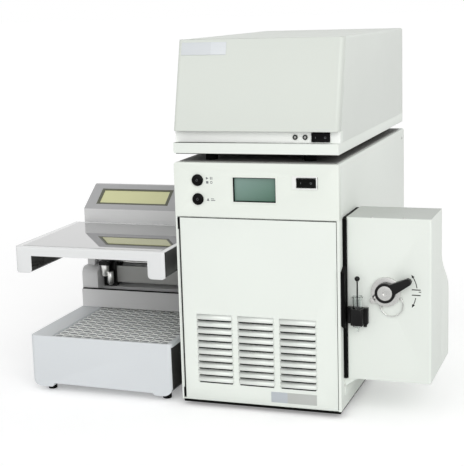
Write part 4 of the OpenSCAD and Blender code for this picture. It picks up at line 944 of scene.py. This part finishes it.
class HPLC_OT_finishes(bpy.types.Operator):
    """Makes every finish and puts it on the slot of its name"""

    bl_idname = "hplc.finishes"
    bl_label = "Finishes"

    def execute(self, context):
        shown = context.scene.hplc_colours
        for build in GROUPS:
            build()
        made = self.finishes_by_slot(shown)
        own = self.finishes_by_piece(shown, made)
        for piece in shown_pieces():
            wanted = piece.get("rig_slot") or piece.data.materials[0].name
            node = piece.get("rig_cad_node") or list(piece.get("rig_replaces", [""]))[0]
            piece.data.materials.clear()
            piece.data.materials.append(own.get(piece.name) or own.get(node) or made[wanted])
        return {"FINISHED"}

    def finishes_by_slot(self, shown):
        """The finish of every slot."""
        # The hood's faces that look right are painted in the shade colour: painted shade of the narrow gap by
        # the tower.
        rail_shade = [(shown.shade, RIGHT, ANYWHERE)]
        pale, yellow = shown.pale_plate, shown.yellow
        return {
            "casing_paint": coated("powder_coat", shown.casing, "powder"),
            "cover_paint": coated("cover_coat", shown.cover, "wrap"),
            "panel_plastic": coated("panel_moulding", shown.panel, "moulding"),
            "inner_steel": spangled("zinc_sheet", shown.zinc),
            "rubber_black": coated("rubber", shown.rubber, "rubber", Specular_IOR_Level=0.1),
            "black_plastic": coated("black_moulding", shown.black, "black", Specular_IOR_Level=0.25),
            "black_gloss": coated("black_gloss", shown.black, "gloss", Specular_IOR_Level=0.12),
            "white_plastic": coated("white_moulding", shown.white, "white"),
            "lcd_green": display("green_display", shown.green_light, shown.green_dark, *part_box("lcd_glass")),
            "lcd_yellow": display("yellow_display", toned(yellow, 1.02), yellow, *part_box("display_glass")),
            "olive_bezel": coated("olive_moulding", shown.olive, "bezel"),
            "silver_plate": metal("brushed_plate", shown.plate, 0.4, (0.05, 1.0, 1.0), 700.0),
            "pale_plate": split_plate("pale_plate", pale, toned(pale, 1.03), 0.0),
            "polished_steel": metal("polished_steel", shown.steel, 0.12, EVEN, 120.0, 0.000003, 0.0),
            "machined_steel": metal("machined_steel", shown.steel, 0.26, (0.15, 1.0, 1.0), 420.0),
            "cast_grey": coated("cast_housing", shown.cast, "casting"),
            "polymer_ivory": coated("ivory_polymer", shown.ivory, "polymer", Subsurface_Weight=0.08),
            "hood_plastic": coated("hood_gloss", shown.hood, "hood", rail_shade),
            "collector_paint": coated("collector_coat", shown.collector, "collector"),
            "collector_grey": coated("collector_grey_coat", shown.collector_grey, "column"),
            "rack_plastic": coated("rack_moulding", shown.rack, "rack"),
            "back_plate_grey": coated("plate_coat", shown.back_plate, "back"),
            "clear_glass": glass("clear_glass"),
        }

    def finishes_by_piece(self, shown, made):
        """The finish of every piece that doesn't wear its slot's."""
        # The door's hinge, side gaps and top face are painted in the shade colour: painted shade in the gaps
        # round the door. The seals named here are that painted shade.
        seals = [(shown.shade, ANY_WAY, within(name)) for name in ("hinge", "left_gap", "right_gap")]
        top_gap = [(shown.shade, UP, within("top_gap"))]
        # The detector base's band is painted paler: painted light in the shade under the leaning front.
        band = [(shown.band, FRONT, within("band"))]
        # The display head's leaning face is painted darker: painted shade.
        tilt_shade = [(shown.head_tilt_shade, (0.0, -math.cos(HEAD_LEAN), math.sin(HEAD_LEAN)), ANYWHERE)]
        # The collector base's right side is painted in the shade colour: painted shade in the gap by the
        # tower.
        base_side = [(shown.shade, RIGHT, within("base_side"))]
        # The injector box's top is painted darker than its front: painted shade of a face turned from the
        # light.
        case_top_shade = [(toned(shown.casing, 0.84), UP, ANYWHERE)]
        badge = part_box("door_badge")
        split = badge[0].x + (badge[1].x - badge[0].x) * BLUE_SHARE
        # The beads round the rack's holes are whiter than the rack: painted highlight on the hole rims.
        wrap, steel, beads = toned(shown.cover, 0.97), toned(shown.steel, 1.1), toned(shown.white, 1.05)
        return {
            "door_badge": split_plate("badge_plate", shown.plate_blue, shown.plate, split),
            "tower_chassis": coated("chassis_coat", shown.casing, "powder", seals),
            "tower_cover": coated("tower_cover_coat", shown.cover, "wrap", seals),
            "door": coated("door_coat", shown.casing, "powder", seals + top_gap),
            "detector_base": coated("detector_base_coat", shown.casing, "powder", band),
            "detector_mat": coated("mat_rubber", shown.mat, "mat"),
            # The leaning front is toned darker than the panel: painted shade of a face turned from the light.
            "detector_front": coated("detector_moulding", toned(shown.panel, 0.92), "moulding"),
            "front_closure": coated("closure_coat", wrap, "wrap"),
            "detector_cover": coated("detector_coat", wrap, "wrap"),
            "injector_case": coated("injector_coat", toned(shown.casing, 0.985), "powder", case_top_shade),
            "collector_head": coated("head_coat", shown.collector_grey, "column", tilt_shade),
            "collector_base": coated("base_coat", shown.collector, "collector", base_side),
            # The hood's top carries a dark glossy inlay: its dark tone is painted shade, its mirror
            # reflections are real.
            "hood_inlay": coated("lid_gloss", shown.lid, "lid", IOR=3.0, Coat_IOR=2.2, Coat_Roughness=0.02),
            # The louvre hoods are toned paler than the door: painted highlight on their up-facing slope.
            "louvre_hoods": coated("louvre_coat", toned(shown.casing, 1.05), "powder"),
            "nozzle_barrels": metal("nozzle_steel", steel, 0.32, (1.0, 1.0, 0.1), 200.0),
            "rack_beads": coated("bead_moulding", beads, "beads"),
            "slim_pull": made["casing_paint"],
        }


# ---- pieces ----

# The nodes whose edges are rounded, by the setting that holds their radius.
ROUNDED = {
    "cover": ["tower_cover", "detector_cover"],
    "chassis": ["tower_chassis"],
    "panel": ["control_panel"],
    "door": ["door"],
    "button": ["upper_button", "lower_button"],
    "rocker": ["power_rocker", "detector_rocker", "rocker_bezel"],
    "detector": ["detector_front"],
    "base": ["detector_base"],
    "box": ["injector_case"],
    "hump": ["injector_rear_cover"],
    "collector": ["collector_base"],
    "column": ["collector_column"],
    "head": ["collector_head"],
    "hood": ["hood"],
    "carriage": ["syringe_clamp"],
    "foot": ["tower_feet", "detector_feet", "collector_feet"],
    "badge": ["door_badge", "detector_badge"],
    "lever": ["valve_lever"],
    "machined": ["valve_body", "pump_head_left", "pump_head_right", "purge_knob"],
}


class HPLC_OT_edges(bpy.types.Operator):
    """Rounds the sharp edges of the parts that show"""

    bl_idname = "hplc.edges"
    bl_label = "Rounded Edges"

    def execute(self, context):
        for setting, nodes in ROUNDED.items():
            for node in nodes:
                softened(node, getattr(context.scene.hplc_edges, setting))
        return {"FINISHED"}


FIRST_LOUVRE = (31, 0, 44.5)
LOUVRE_ROUNDING, SLIT_OUT, SLIT_DROP, SLIT_SLANT = 0.2 * MM, 0.35 * MM, 0.2 * MM, 1 * MM


class HPLC_OT_louvres(bpy.types.Operator):
    """Presses a hood out of the door over every louvre's window"""

    bl_idname = "hplc.louvres"
    bl_label = "Louvre Hoods"

    def execute(self, context):
        forms = context.scene.hplc_forms
        values = {
            "Pattern": None,
            "Columns": forms.louvre_columns,
            "Rows": forms.louvre_rows,
            "Column Pitch": forms.louvre_pitch,
            "Row Pitch": forms.louvre_rise,
            "Place": tuple(at(*FIRST_LOUVRE)),
        }
        graph = geometry_graph("Louvre Hoods", values)
        columns = graph.row(graph["Columns"], "X", graph["Column Pitch"], graph["Place"])
        rows = graph.row(graph["Rows"], "Z", graph["Row Pitch"])
        column = graph.on_points(rows, graph.shape_of("Pattern"))
        end_growth(graph, graph.on_points(columns, column))
        # Each hood gets a black strip below its lip: painted shade of the slit.
        for name, mesh, slot in (
            ("louvre_hoods", self.hood(forms), "casing_paint"),
            ("louvre_slits", self.slit(forms), "rubber_black"),
        ):
            pattern = linked(name + "_pattern", mesh)
            grown(name, graph, {**values, "Pattern": pattern}, "door", slot)
            bpy.data.objects.remove(pattern)
        return {"FINISHED"}

    def slit(self, forms):
        """A dark strip that shows below one hood: painted shade of the slit under its lip."""
        work = bmesh.new()
        low, high = -SLIT_DROP, forms.louvre_slit
        left = forms.louvre_taper / 2
        right = forms.louvre_width - left
        corners = ((left, high), (right, high), (right - SLIT_SLANT, low), (left + SLIT_SLANT, low))
        solid(work, [[(x, y, z) for x, z in corners] for y in (-SLIT_OUT, 0.0)])
        return mesh_of(work, "louvre_slit")

    def hood(self, forms):
        """One hood: a sheet that leans out over its window, closed at both ends and open below."""
        wide, top = forms.louvre_width, forms.louvre_height + forms.louvre_lap
        out, lip = forms.louvre_out, forms.louvre_slit
        work = bmesh.new()
        layers = []
        for inner in (0.0, forms.louvre_sheet):
            edge = forms.louvre_taper + inner
            corners = (
                (inner, 0.0, top - inner * 2),
                (wide - inner, 0.0, top - inner * 2),
                (wide - edge, inner - out, lip),
                (wide - inner, 0.0, lip),
                (inner, 0.0, lip),
                (edge, inner - out, lip),
            )
            layers.append([work.verts.new(corner) for corner in corners])
        outer, inner = layers
        for face in ((0, 1, 2, 5), (1, 3, 2), (0, 5, 4)):
            work.faces.new([outer[n] for n in face])
            work.faces.new([inner[n] for n in reversed(face)])
        for a, b in ((0, 1), (1, 3), (3, 2), (2, 5), (5, 4), (4, 0)):
            work.faces.new((outer[a], inner[a], inner[b], outer[b]))
        bmesh.ops.recalc_face_normals(work, faces=work.faces)
        bmesh.ops.bevel(
            work, geom=work.edges[:], offset=LOUVRE_ROUNDING, segments=2, affect="EDGES", clamp_overlap=True
        )
        mesh = mesh_of(work, "louvre_hood")
        mesh.shade_smooth()
        return mesh


UNDERSIDE_HEIGHT = 1.5 * MM
CLOSURE_DEPTH, CLOSURE_BACK, CLOSURE_DROP = 16 * MM, 1.5 * MM, 0.2 * MM
PULL = (272.6, -1.0, 158), (274.3, 0.0, 250)


class HPLC_OT_trims(bpy.types.Operator):
    """Adds the tray and mats under the modules, the closure, the pad's grip and the slim door pull; the tray,
    the mat, the detector's underside and the grip's black stand in for shade as painted shade
    """

    bl_idname = "hplc.trims"
    bl_label = "Trims"

    def execute(self, context):
        forms = context.scene.hplc_forms
        cover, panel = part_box("tower_cover"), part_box("control_panel")
        # A black tray under the tower: painted shade under the casing's front.
        inset = forms.tray_inset
        low = (cover[0].x + inset, panel[0].y + inset, cover[0].z - forms.tray_height)
        high = (cover[1].x - inset, cover[1].y - inset, cover[0].z)
        plate("base_tray", low, high, SYSTEM, "rubber_black", 0.8 * MM)
        # A black plate under the detector: painted shade of the gap below it.
        inset = forms.under_inset
        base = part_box("detector_base")
        low = (base[0].x + inset, base[0].y + inset, base[0].z - UNDERSIDE_HEIGHT)
        high = (base[1].x - inset, base[1].y - inset, base[0].z)
        plate("detector_underside", low, high, SYSTEM, "black_plastic", 0.3 * MM)
        # A grey mat on the tower's top under the detector: painted shade of the gap.
        low = (cover[0].x + forms.mat_side, panel[0].y + forms.mat_front, cover[1].z)
        high = (cover[1].x - forms.mat_side, cover[1].y - forms.mat_back, cover[1].z + forms.mat_height)
        plate("detector_mat", low, high, SYSTEM, "rubber_black", 0.5 * MM, "stacking_pad")
        front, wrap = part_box("detector_front"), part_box("detector_cover")
        low = (front[0].x + inset, front[1].y - CLOSURE_DEPTH, wrap[1].z - inset)
        high = (front[1].x - inset, front[1].y + CLOSURE_BACK, wrap[1].z - CLOSURE_DROP)
        plate("front_closure", low, high, SYSTEM, "cover_paint", 0.2 * MM)
        self.grip(forms.grip_front / MM, forms.grip_reach / MM)
        low, high = PULL
        plate("slim_pull", at(*low), at(*high), "door", "black_plastic", 0.3 * MM, "door_pull")
        return {"FINISHED"}

    def grip(self, edge, reach):
        """The pad on the tower's side, with the grip that stands out of its front edge; a black pad is fitted
        there, and the grip's black stands in for the shade of the gap by the injector.
        """
        back, low, high = 24, 64.5, 332
        profile = [(back, low), (edge, low), (edge, 149), (reach, 157), (reach, 246), (edge, 254)]
        work = bmesh.new()
        prism(work, 280.1, 285.9, profile + [(edge, high), (back, high)])
        fitting("pad_grip", work, SYSTEM, "rubber_black", 1 * MM)


INLAY = (-294.5, 6.5), (-32.5, 225.5)
CARRIAGE_LEFT = -254.5
NOZZLE_DEPTH = 230
# Width, then front, foot, back and top of each bar of the carriage, in millimetres.
CARRIAGE_BARS = (
    (26, 242, 141.5, 248, 194),
    (26, 248, 141.5, 254, 146.5),
    (26, 248, 181.5, 254, 194),
    (26, 254, 143, 276, 194),
    (19.5, 220.5, 186, 242, 194),
)
# Radius, distance from the carriage's left, foot and top of each barrel, in millimetres.
NOZZLE_BARRELS = ((7.5, 9, 166, 190), (6.6, 9, 164, 166), (5.8, 19.5, 149, 173), (3.5, 19.5, 147, 149))


class HPLC_OT_collector_front(bpy.types.Operator):
    """Adds the guard before the collector's column and rebuilds the carriage with its bright nozzle"""

    bl_idname = "hplc.collector_front"
    bl_label = "Collector Front"

    def execute(self, context):
        forms = context.scene.hplc_forms
        low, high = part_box("collector_column")
        front, top = low.y - forms.guard_thickness, low.z + forms.guard_height
        plate("guard_plate", (low.x, front, low.z), (high.x, low.y, top), SYSTEM, "collector_grey", 1.2 * MM)
        # A black strip on the guard's top: painted shade of the gap between guard and column.
        side, back = 2 * MM, 1 * MM
        near, far = (low.x + side, front + back, top), (high.x - side, low.y, top + forms.gasket)
        plate("guard_gasket", near, far, SYSTEM, "rubber_black", 0.3 * MM)
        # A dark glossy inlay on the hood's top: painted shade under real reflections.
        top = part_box("hood")[1].z
        near, far = (at(x, y, 0) + Vector((0, 0, top)) for x, y in INLAY)
        plate("hood_inlay", near, far + Vector((0, 0, forms.inlay_height)), "hood", "hood_plastic")
        work = bmesh.new()
        for width, *sides in CARRIAGE_BARS:
            prism(work, CARRIAGE_LEFT, CARRIAGE_LEFT + width, bar(*sides)[0])
        fitting("carriage_block", work, "carriage", "black_plastic", 0.6 * MM, "drop_carriage")
        work = bmesh.new()
        for radius, across, foot, top in NOZZLE_BARRELS:
            drum(work, radius, (CARRIAGE_LEFT + across, NOZZLE_DEPTH), foot, top)
        barrels = fitting("nozzle_barrels", work, "carriage", "polished_steel", 0.0, "drop_nozzle")
        barrels.data.shade_smooth()
        return {"FINISHED"}


# Places of the screws, in millimetres from the tower's corner, and where each looks.
SCREWS = (
    ((328, 24, 334), UP),
    ((380, 24, 334), UP),
    ((280, 24, 51), RIGHT),
    ((280, 516, 51), RIGHT),
    ((280, 516, 404), RIGHT),
    ((20, 118, 30), FRONT),
    ((20, 118, 312), FRONT),
    ((260, 118, 30), FRONT),
    ((260, 118, 312), FRONT),
    ((-66, 250, 164), FRONT),
)


class HPLC_OT_screws(bpy.types.Operator):
    """Puts the screws into the covers"""

    bl_idname = "hplc.screws"
    bl_label = "Cover Screws"

    def execute(self, context):
        sizes = context.scene.hplc_details
        values = {"Head": linked("screw_pattern", self.head(sizes.screw_radius, sizes.screw_height))}
        graph = geometry_graph("Screws", values)
        points = graph.add("GeometryNodeMeshToPoints", {"Mesh": graph["Geometry"]})
        facing = graph.add("GeometryNodeInputNamedAttribute", {"Name": "facing"}, data_type="FLOAT_VECTOR")
        turn = graph.add("FunctionNodeAlignRotationToVector", {"Vector": facing.outputs[0]}, axis="Z")
        heads = graph.on_points(points.outputs[0], graph.shape_of("Head"), Rotation=turn.outputs[0])
        end_growth(graph, heads)
        mesh = bpy.data.meshes.new("screw_places")
        mesh.from_pydata([at(*place) for place, _ in SCREWS], [], [])
        directions = mesh.attributes.new("facing", "FLOAT_VECTOR", "POINT")
        for index, (_, direction) in enumerate(SCREWS):
            directions.data[index].vector = direction
        grown("cover_screws", graph, values, SYSTEM, "machined_steel", mesh)
        bpy.data.objects.remove(values["Head"])
        return {"FINISHED"}

    def head(self, radius, height):
        """A screw head with a cross recess; the numbers are shares of its radius and height."""
        flat, arm, rim, waist, depth = 0.62, 0.13, 0.75, 0.5, 0.6
        first, span, steps = 14, 62, 5
        work = bmesh.new()
        bmesh.ops.create_cone(
            work, cap_ends=True, segments=24, radius1=radius, radius2=radius, depth=height * waist
        )
        ring, loops = arc(0, 0, radius * flat, radius)
        levels = (height, height * rim)
        corners = [work.verts.new((u, v, levels[n % 2])) for n, (u, v) in enumerate(ring)]
        faces = [work.faces.new([corners[n] for n in loop]) for loop in loops]
        for quarter in range(4):
            turn = Matrix.Rotation(math.radians(90 * quarter), 3, "Z")
            outline = [(arm * radius, arm * radius)]
            outline += [polar(radius * flat, first + span * n / steps) for n in range(steps + 1)]
            faces.append(work.faces.new([work.verts.new(turn @ Vector((*p, height))) for p in outline]))
        raised = bmesh.ops.extrude_face_region(work, geom=faces, use_keep_orig=True)
        lower = [v for v in raised["geom"] if isinstance(v, bmesh.types.BMVert)]
        bmesh.ops.translate(work, verts=lower, vec=(0, 0, -height * depth))
        return mesh_of(work, "screw_head")


class HPLC_OT_rack_beads(bpy.types.Operator):
    """Puts a bead round every hole of the tube rack; the white of each bead is a painted highlight on the hole
    rim
    """

    bl_idname = "hplc.rack_beads"
    bl_label = "Rack Beads"

    def execute(self, context):
        sizes = context.scene.hplc_details
        ring_steps, wire_steps = 20, 5
        low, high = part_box("tube_rack")
        centre = (low + high) / 2
        values = {
            "Columns": sizes.rack_columns,
            "Rows": sizes.rack_rows,
            "Pitch": sizes.rack_pitch,
            "Hole Radius": sizes.hole_radius,
            "Bead": sizes.rim_wire,
            "Place": (centre.x, centre.y, high.z),
        }
        graph = geometry_graph("Rack Beads", values)
        spread = {"Vertices X": graph["Columns"], "Vertices Y": graph["Rows"]}
        for size, label in (("Size X", "Columns"), ("Size Y", "Rows")):
            steps = graph.math("SUBTRACT", graph[label], 1.0)
            spread[size] = graph.math("MULTIPLY", steps, graph["Pitch"])
        grid = graph.add("GeometryNodeMeshGrid", spread).outputs[0]
        bead = graph.wire(graph.circle(graph["Hole Radius"], ring_steps), graph["Bead"], wire_steps)
        beads = graph.on_points(grid, bead)
        moved = graph.add("GeometryNodeTransform", {"Geometry": beads, "Translation": graph["Place"]})
        end_growth(graph, moved.outputs[0])
        grown("rack_beads", graph, values, "rack", "white_plastic").data.shade_smooth()
        return {"FINISHED"}


MARKS_X, UPPER_MARKS_Z, LOWER_MARKS_Z = 41.4, 392, 360.5


class HPLC_OT_panel_marks(bpy.types.Operator):
    """Prints the plain signs beside the buttons and on them"""

    bl_idname = "hplc.panel_marks"
    bl_label = "Panel Marks"

    def execute(self, context):
        run = [shape((15, 1.2), (19.5, 3.4), (15, 5.6))]
        run += [bar(22, 1.2, 23.3, 5.6), bar(24.8, 1.2, 26.1, 5.6)]
        stop = [bar(15, -5.4, 19, -1.4), arc(24, -3.4, 1.3, 2.2)]
        printed("run_stop_marks", run + stop, at(MARKS_X, 0, UPPER_MARKS_Z), SYSTEM, "cast_grey")
        alarm = [shape((15, -2.6), (20, -2.6), (17.5, 2.2))]
        alarm += [bar(22.5, -2.4, 30, -1.2), bar(22.5, 0.2, 28, 1.4)]
        printed("alarm_marks", alarm, at(MARKS_X, 0, LOWER_MARKS_Z), SYSTEM, "cast_grey")
        for node in ("upper_button", "lower_button"):
            sign = [arc(0, 0, 1.5, 1.9, 120, 420), bar(-0.2, 0.7, 0.2, 2.6)]
            printed(node + "_sign", sign, front_of(node)[0], node, "cast_grey")
        return {"FINISHED"}


class HPLC_OT_rocker_marks(bpy.types.Operator):
    """Marks the rockers I and O"""

    bl_idname = "hplc.rocker_marks"
    bl_label = "Rocker Marks"

    def execute(self, context):
        share = 0.24
        for node, body in (("power_rocker", "tower_rocker"), ("detector_rocker", "detector_rocker")):
            middle, width = front_of(node)
            reach = width * share
            signs = [bar(-reach - 0.3, -1.5, -reach + 0.3, 1.5), arc(reach, 0, 1.1, 1.6)]
            printed(node + "_marks", signs, middle, body, "cast_grey")
        return {"FINISHED"}


DIAL_X, DIAL_Z, DIAL_STEP, ARROW_HALF = 351, 214.5, 2, 2.4


class HPLC_OT_dial(bpy.types.Operator):
    """Prints the arrows and ticks of the injection valve"""

    bl_idname = "hplc.dial"
    bl_label = "Injector Dial"

    def execute(self, context):
        sizes = context.scene.hplc_details
        width = sizes.line_width / MM
        outer = sizes.dial_radius / MM
        inner = outer - DIAL_STEP
        signs = [
            arc(0, 0, outer - width, outer, 9, 30),
            arc(0, 0, inner - width, inner, -24, -10),
            bar(41, 4.2, 55, 5.8),
            bar(41, -4.6, 55, -3.0),
            bar(52, 1.0, 56, 2.4),
        ]
        for turn, tip, edge in ((30, 36, outer), (-24, -31, inner)):
            middle = edge - width / 2
            corners = ((middle - ARROW_HALF, turn), (middle + ARROW_HALF, turn), (middle, tip))
            signs.append(shape(*[polar(*corner) for corner in corners]))
        centre = at(DIAL_X, 0, DIAL_Z)
        centre.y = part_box("injector_case")[0].y
        printed("injector_dial", signs, centre, SYSTEM, "black_plastic")
        return {"FINISHED"}


WINDOW = (102.5, 1.2, 357.25), (175.5, 1.2, 397.75)


class HPLC_OT_seals(bpy.types.Operator):
    """Lines the display window with a black seal"""

    bl_idname = "hplc.seals"
    bl_label = "Seals"

    def execute(self, context):
        width = context.scene.hplc_details.seal_width
        low, high = (at(*corner) for corner in WINDOW)
        near, far = low.y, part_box("lcd_glass")[0].y
        work = bmesh.new()
        for x in (low.x, high.x - width):
            block(work, (x, near, low.z), (x + width, far, high.z))
        for z in (low.z, high.z - width):
            block(work, (low.x + width, near, z), (high.x - width, far, z + width))
        fitting("window_seal", work, SYSTEM, "rubber_black")
        return {"FINISHED"}


SCALE_START = (306, 9, 162)


class HPLC_OT_graduations(bpy.types.Operator):
    """Prints the scale on the syringe barrel"""

    bl_idname = "hplc.graduations"
    bl_label = "Syringe Scale"

    def execute(self, context):
        sizes = context.scene.hplc_details
        first, span, arc_steps, wire_steps = math.radians(-110), math.radians(60), 8, 4
        values = {
            "Count": sizes.scale_count,
            "Step": sizes.scale_step,
            "Barrel Radius": sizes.scale_radius,
            "Line": sizes.scale_line,
            "Place": tuple(at(*SCALE_START)),
        }
        graph = geometry_graph("Graduations", values)
        line = graph.row(graph["Count"], "Z", graph["Step"], graph["Place"])
        sweep = {"Start Angle": first, "Sweep Angle": span, "Resolution": arc_steps}
        mark = graph.add("GeometryNodeCurveArc", {"Radius": graph["Barrel Radius"], **sweep}).outputs[0]
        end_growth(graph, graph.on_points(line, graph.wire(mark, graph["Line"], wire_steps, True)))
        grown("syringe_scale", graph, values, SYSTEM, "black_plastic")
        return {"FINISHED"}


class HPLC_OT_button_rings(bpy.types.Operator):
    """Puts the dark rings round the detector's small buttons"""

    bl_idname = "hplc.button_rings"
    bl_label = "Button Rings"

    def execute(self, context):
        inner, outer = 0.21, 0.39
        for node in ("detector_button_left", "detector_button_right"):
            middle, width = front_of(node)
            printed(node + "_ring", [arc(0, 0, width * inner, width * outer)], middle, node, "black_plastic")
        return {"FINISHED"}


# Direction and softness in degrees of the two lights.
LIGHTS = {"key_light": ((0.75, -1.0, 0.62), 50.0), "fill_light": ((-0.6, -1.0, 0.9), 70.0)}
FLOOR_SIZE, FLOOR_DROP, SENSOR = 60.0, 0.2 * MM, 36.0


class HPLC_OT_studio(bpy.types.Operator):
    """Builds the floor, the soft light and the camera"""

    bl_idname = "hplc.studio"
    bl_label = "Studio"

    def execute(self, context):
        settings = context.scene.hplc_studio
        self.floor(settings)
        self.room(context, settings)
        for name, (towards, softness) in LIGHTS.items():
            self.lamp(name, getattr(settings, name), towards, softness)
        self.camera(context, settings)
        context.scene.view_settings.view_transform = "Standard"
        return {"FINISHED"}

    def floor(self, settings):
        """A pale plain floor that keeps the shadow."""
        work = bmesh.new()
        bmesh.ops.create_grid(work, x_segments=1, y_segments=1, size=FLOOR_SIZE)
        material = bpy.data.materials.new("floor_white")
        graph = Graph(cleared(material))
        place = graph.add("ShaderNodeTexCoord").outputs["Object"]
        grain = graph.noise(place, 40.0, 2.0)
        tone = graph.mixed(grain, (0.94, 0.94, 0.94, 1.0), (0.96, 0.96, 0.96, 1.0))
        plain = graph.add("ShaderNodeBsdfDiffuse", {"Color": tone})
        seen = graph.add("ShaderNodeLightPath").outputs["Is Camera Ray"]
        level = graph.math("MULTIPLY", seen, settings.floor_glow)
        glow = graph.add("ShaderNodeEmission", {"Strength": level})
        both = graph.add("ShaderNodeAddShader", {0: plain.outputs[0], 1: glow.outputs[0]})
        graph.add("ShaderNodeOutputMaterial", {"Surface": both.outputs[0]})
        mesh = mesh_of(work, "floor")
        mesh.materials.append(material)
        floor = linked("floor", mesh)
        floor.location.z = -FLOOR_DROP
        floor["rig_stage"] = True

    def room(self, context, settings):
        """Even light, white where it is seen."""
        world = bpy.data.worlds.new("room")
        graph = Graph(cleared(world))
        path = graph.add("ShaderNodeLightPath").outputs
        seen = graph.math("MAXIMUM", path["Is Camera Ray"], path["Is Glossy Ray"])
        seen = graph.math("MAXIMUM", seen, path["Is Transmission Ray"])
        strength = graph.ranged(seen, To_Min=settings.room_light, To_Max=1.0)
        light = graph.add("ShaderNodeBackground", {"Color": (1.0, 1.0, 1.0, 1.0), "Strength": strength})
        graph.add("ShaderNodeOutputWorld", {"Surface": light.outputs[0]})
        context.scene.world = world

    def lamp(self, name, level, towards, softness):
        """A soft sun that shines from a direction."""
        data = bpy.data.lights.new(name, "SUN")
        data.energy = level
        data.angle = math.radians(softness)
        lamp = linked(name, data)
        lamp.rotation_mode = "QUATERNION"
        lamp.rotation_quaternion = Vector(towards).to_track_quat("Z", "Y")

    def camera(self, context, settings):
        """The camera that sees the system from the front right."""
        yaw, pitch, roll = settings.camera_yaw, settings.camera_pitch, settings.camera_roll
        ahead = Vector((math.sin(yaw) * math.cos(pitch), math.cos(yaw) * math.cos(pitch), math.sin(pitch)))
        side = ahead.cross(Vector(UP)).normalized()
        up = side.cross(ahead)
        turned = side * math.cos(roll) + up * math.sin(roll)
        raised = up * math.cos(roll) - side * math.sin(roll)
        data = bpy.data.cameras.new("camera")
        data.sensor_width = SENSOR
        data.lens = settings.camera_lens
        data.shift_x = settings.camera_shift
        camera = linked("camera", data)
        view = Matrix((turned, raised, -ahead)).transposed().to_4x4()
        camera.matrix_world = Matrix.Translation(settings.camera_place) @ view
        context.scene.camera = camera


class HPLC_PT_panel(bpy.types.Panel):
    """Lists the steps"""

    bl_idname = "HPLC_PT_panel"
    bl_label = "HPLC System"
    bl_space_type = "VIEW_3D"
    bl_region_type = "UI"
    bl_category = "HPLC System"

    def draw(self, context):
        for step in STEPS:
            self.layout.operator(step.bl_idname, text=step.bl_label)


STEPS = (
    HPLC_OT_edges,
    HPLC_OT_louvres,
    HPLC_OT_trims,
    HPLC_OT_collector_front,
    HPLC_OT_screws,
    HPLC_OT_rack_beads,
    HPLC_OT_panel_marks,
    HPLC_OT_rocker_marks,
    HPLC_OT_dial,
    HPLC_OT_seals,
    HPLC_OT_graduations,
    HPLC_OT_button_rings,
    HPLC_OT_finishes,
    HPLC_OT_studio,
)
SETTINGS = {
    "hplc_colours": HplcColours,
    "hplc_edges": HplcEdges,
    "hplc_details": HplcDetails,
    "hplc_forms": HplcForms,
    "hplc_studio": HplcStudio,
}


def register():
    """Adds the settings, the steps and the panel."""
    for name, group in SETTINGS.items():
        bpy.utils.register_class(group)
        setattr(bpy.types.Scene, name, bpy.props.PointerProperty(type=group))
    for step in STEPS:
        bpy.utils.register_class(step)
    bpy.utils.register_class(HPLC_PT_panel)


def unregister():
    """Takes the panel, the steps and the settings away."""
    bpy.utils.unregister_class(HPLC_PT_panel)
    for step in reversed(STEPS):
        bpy.utils.unregister_class(step)
    for name, group in SETTINGS.items():
        delattr(bpy.types.Scene, name)
        bpy.utils.unregister_class(group)


def main():
    """Runs every step."""
    register()
    for step in STEPS:
        group, name = step.bl_idname.split(".")
        getattr(getattr(bpy.ops, group), name)()


if __name__ == "__main__":
    main()
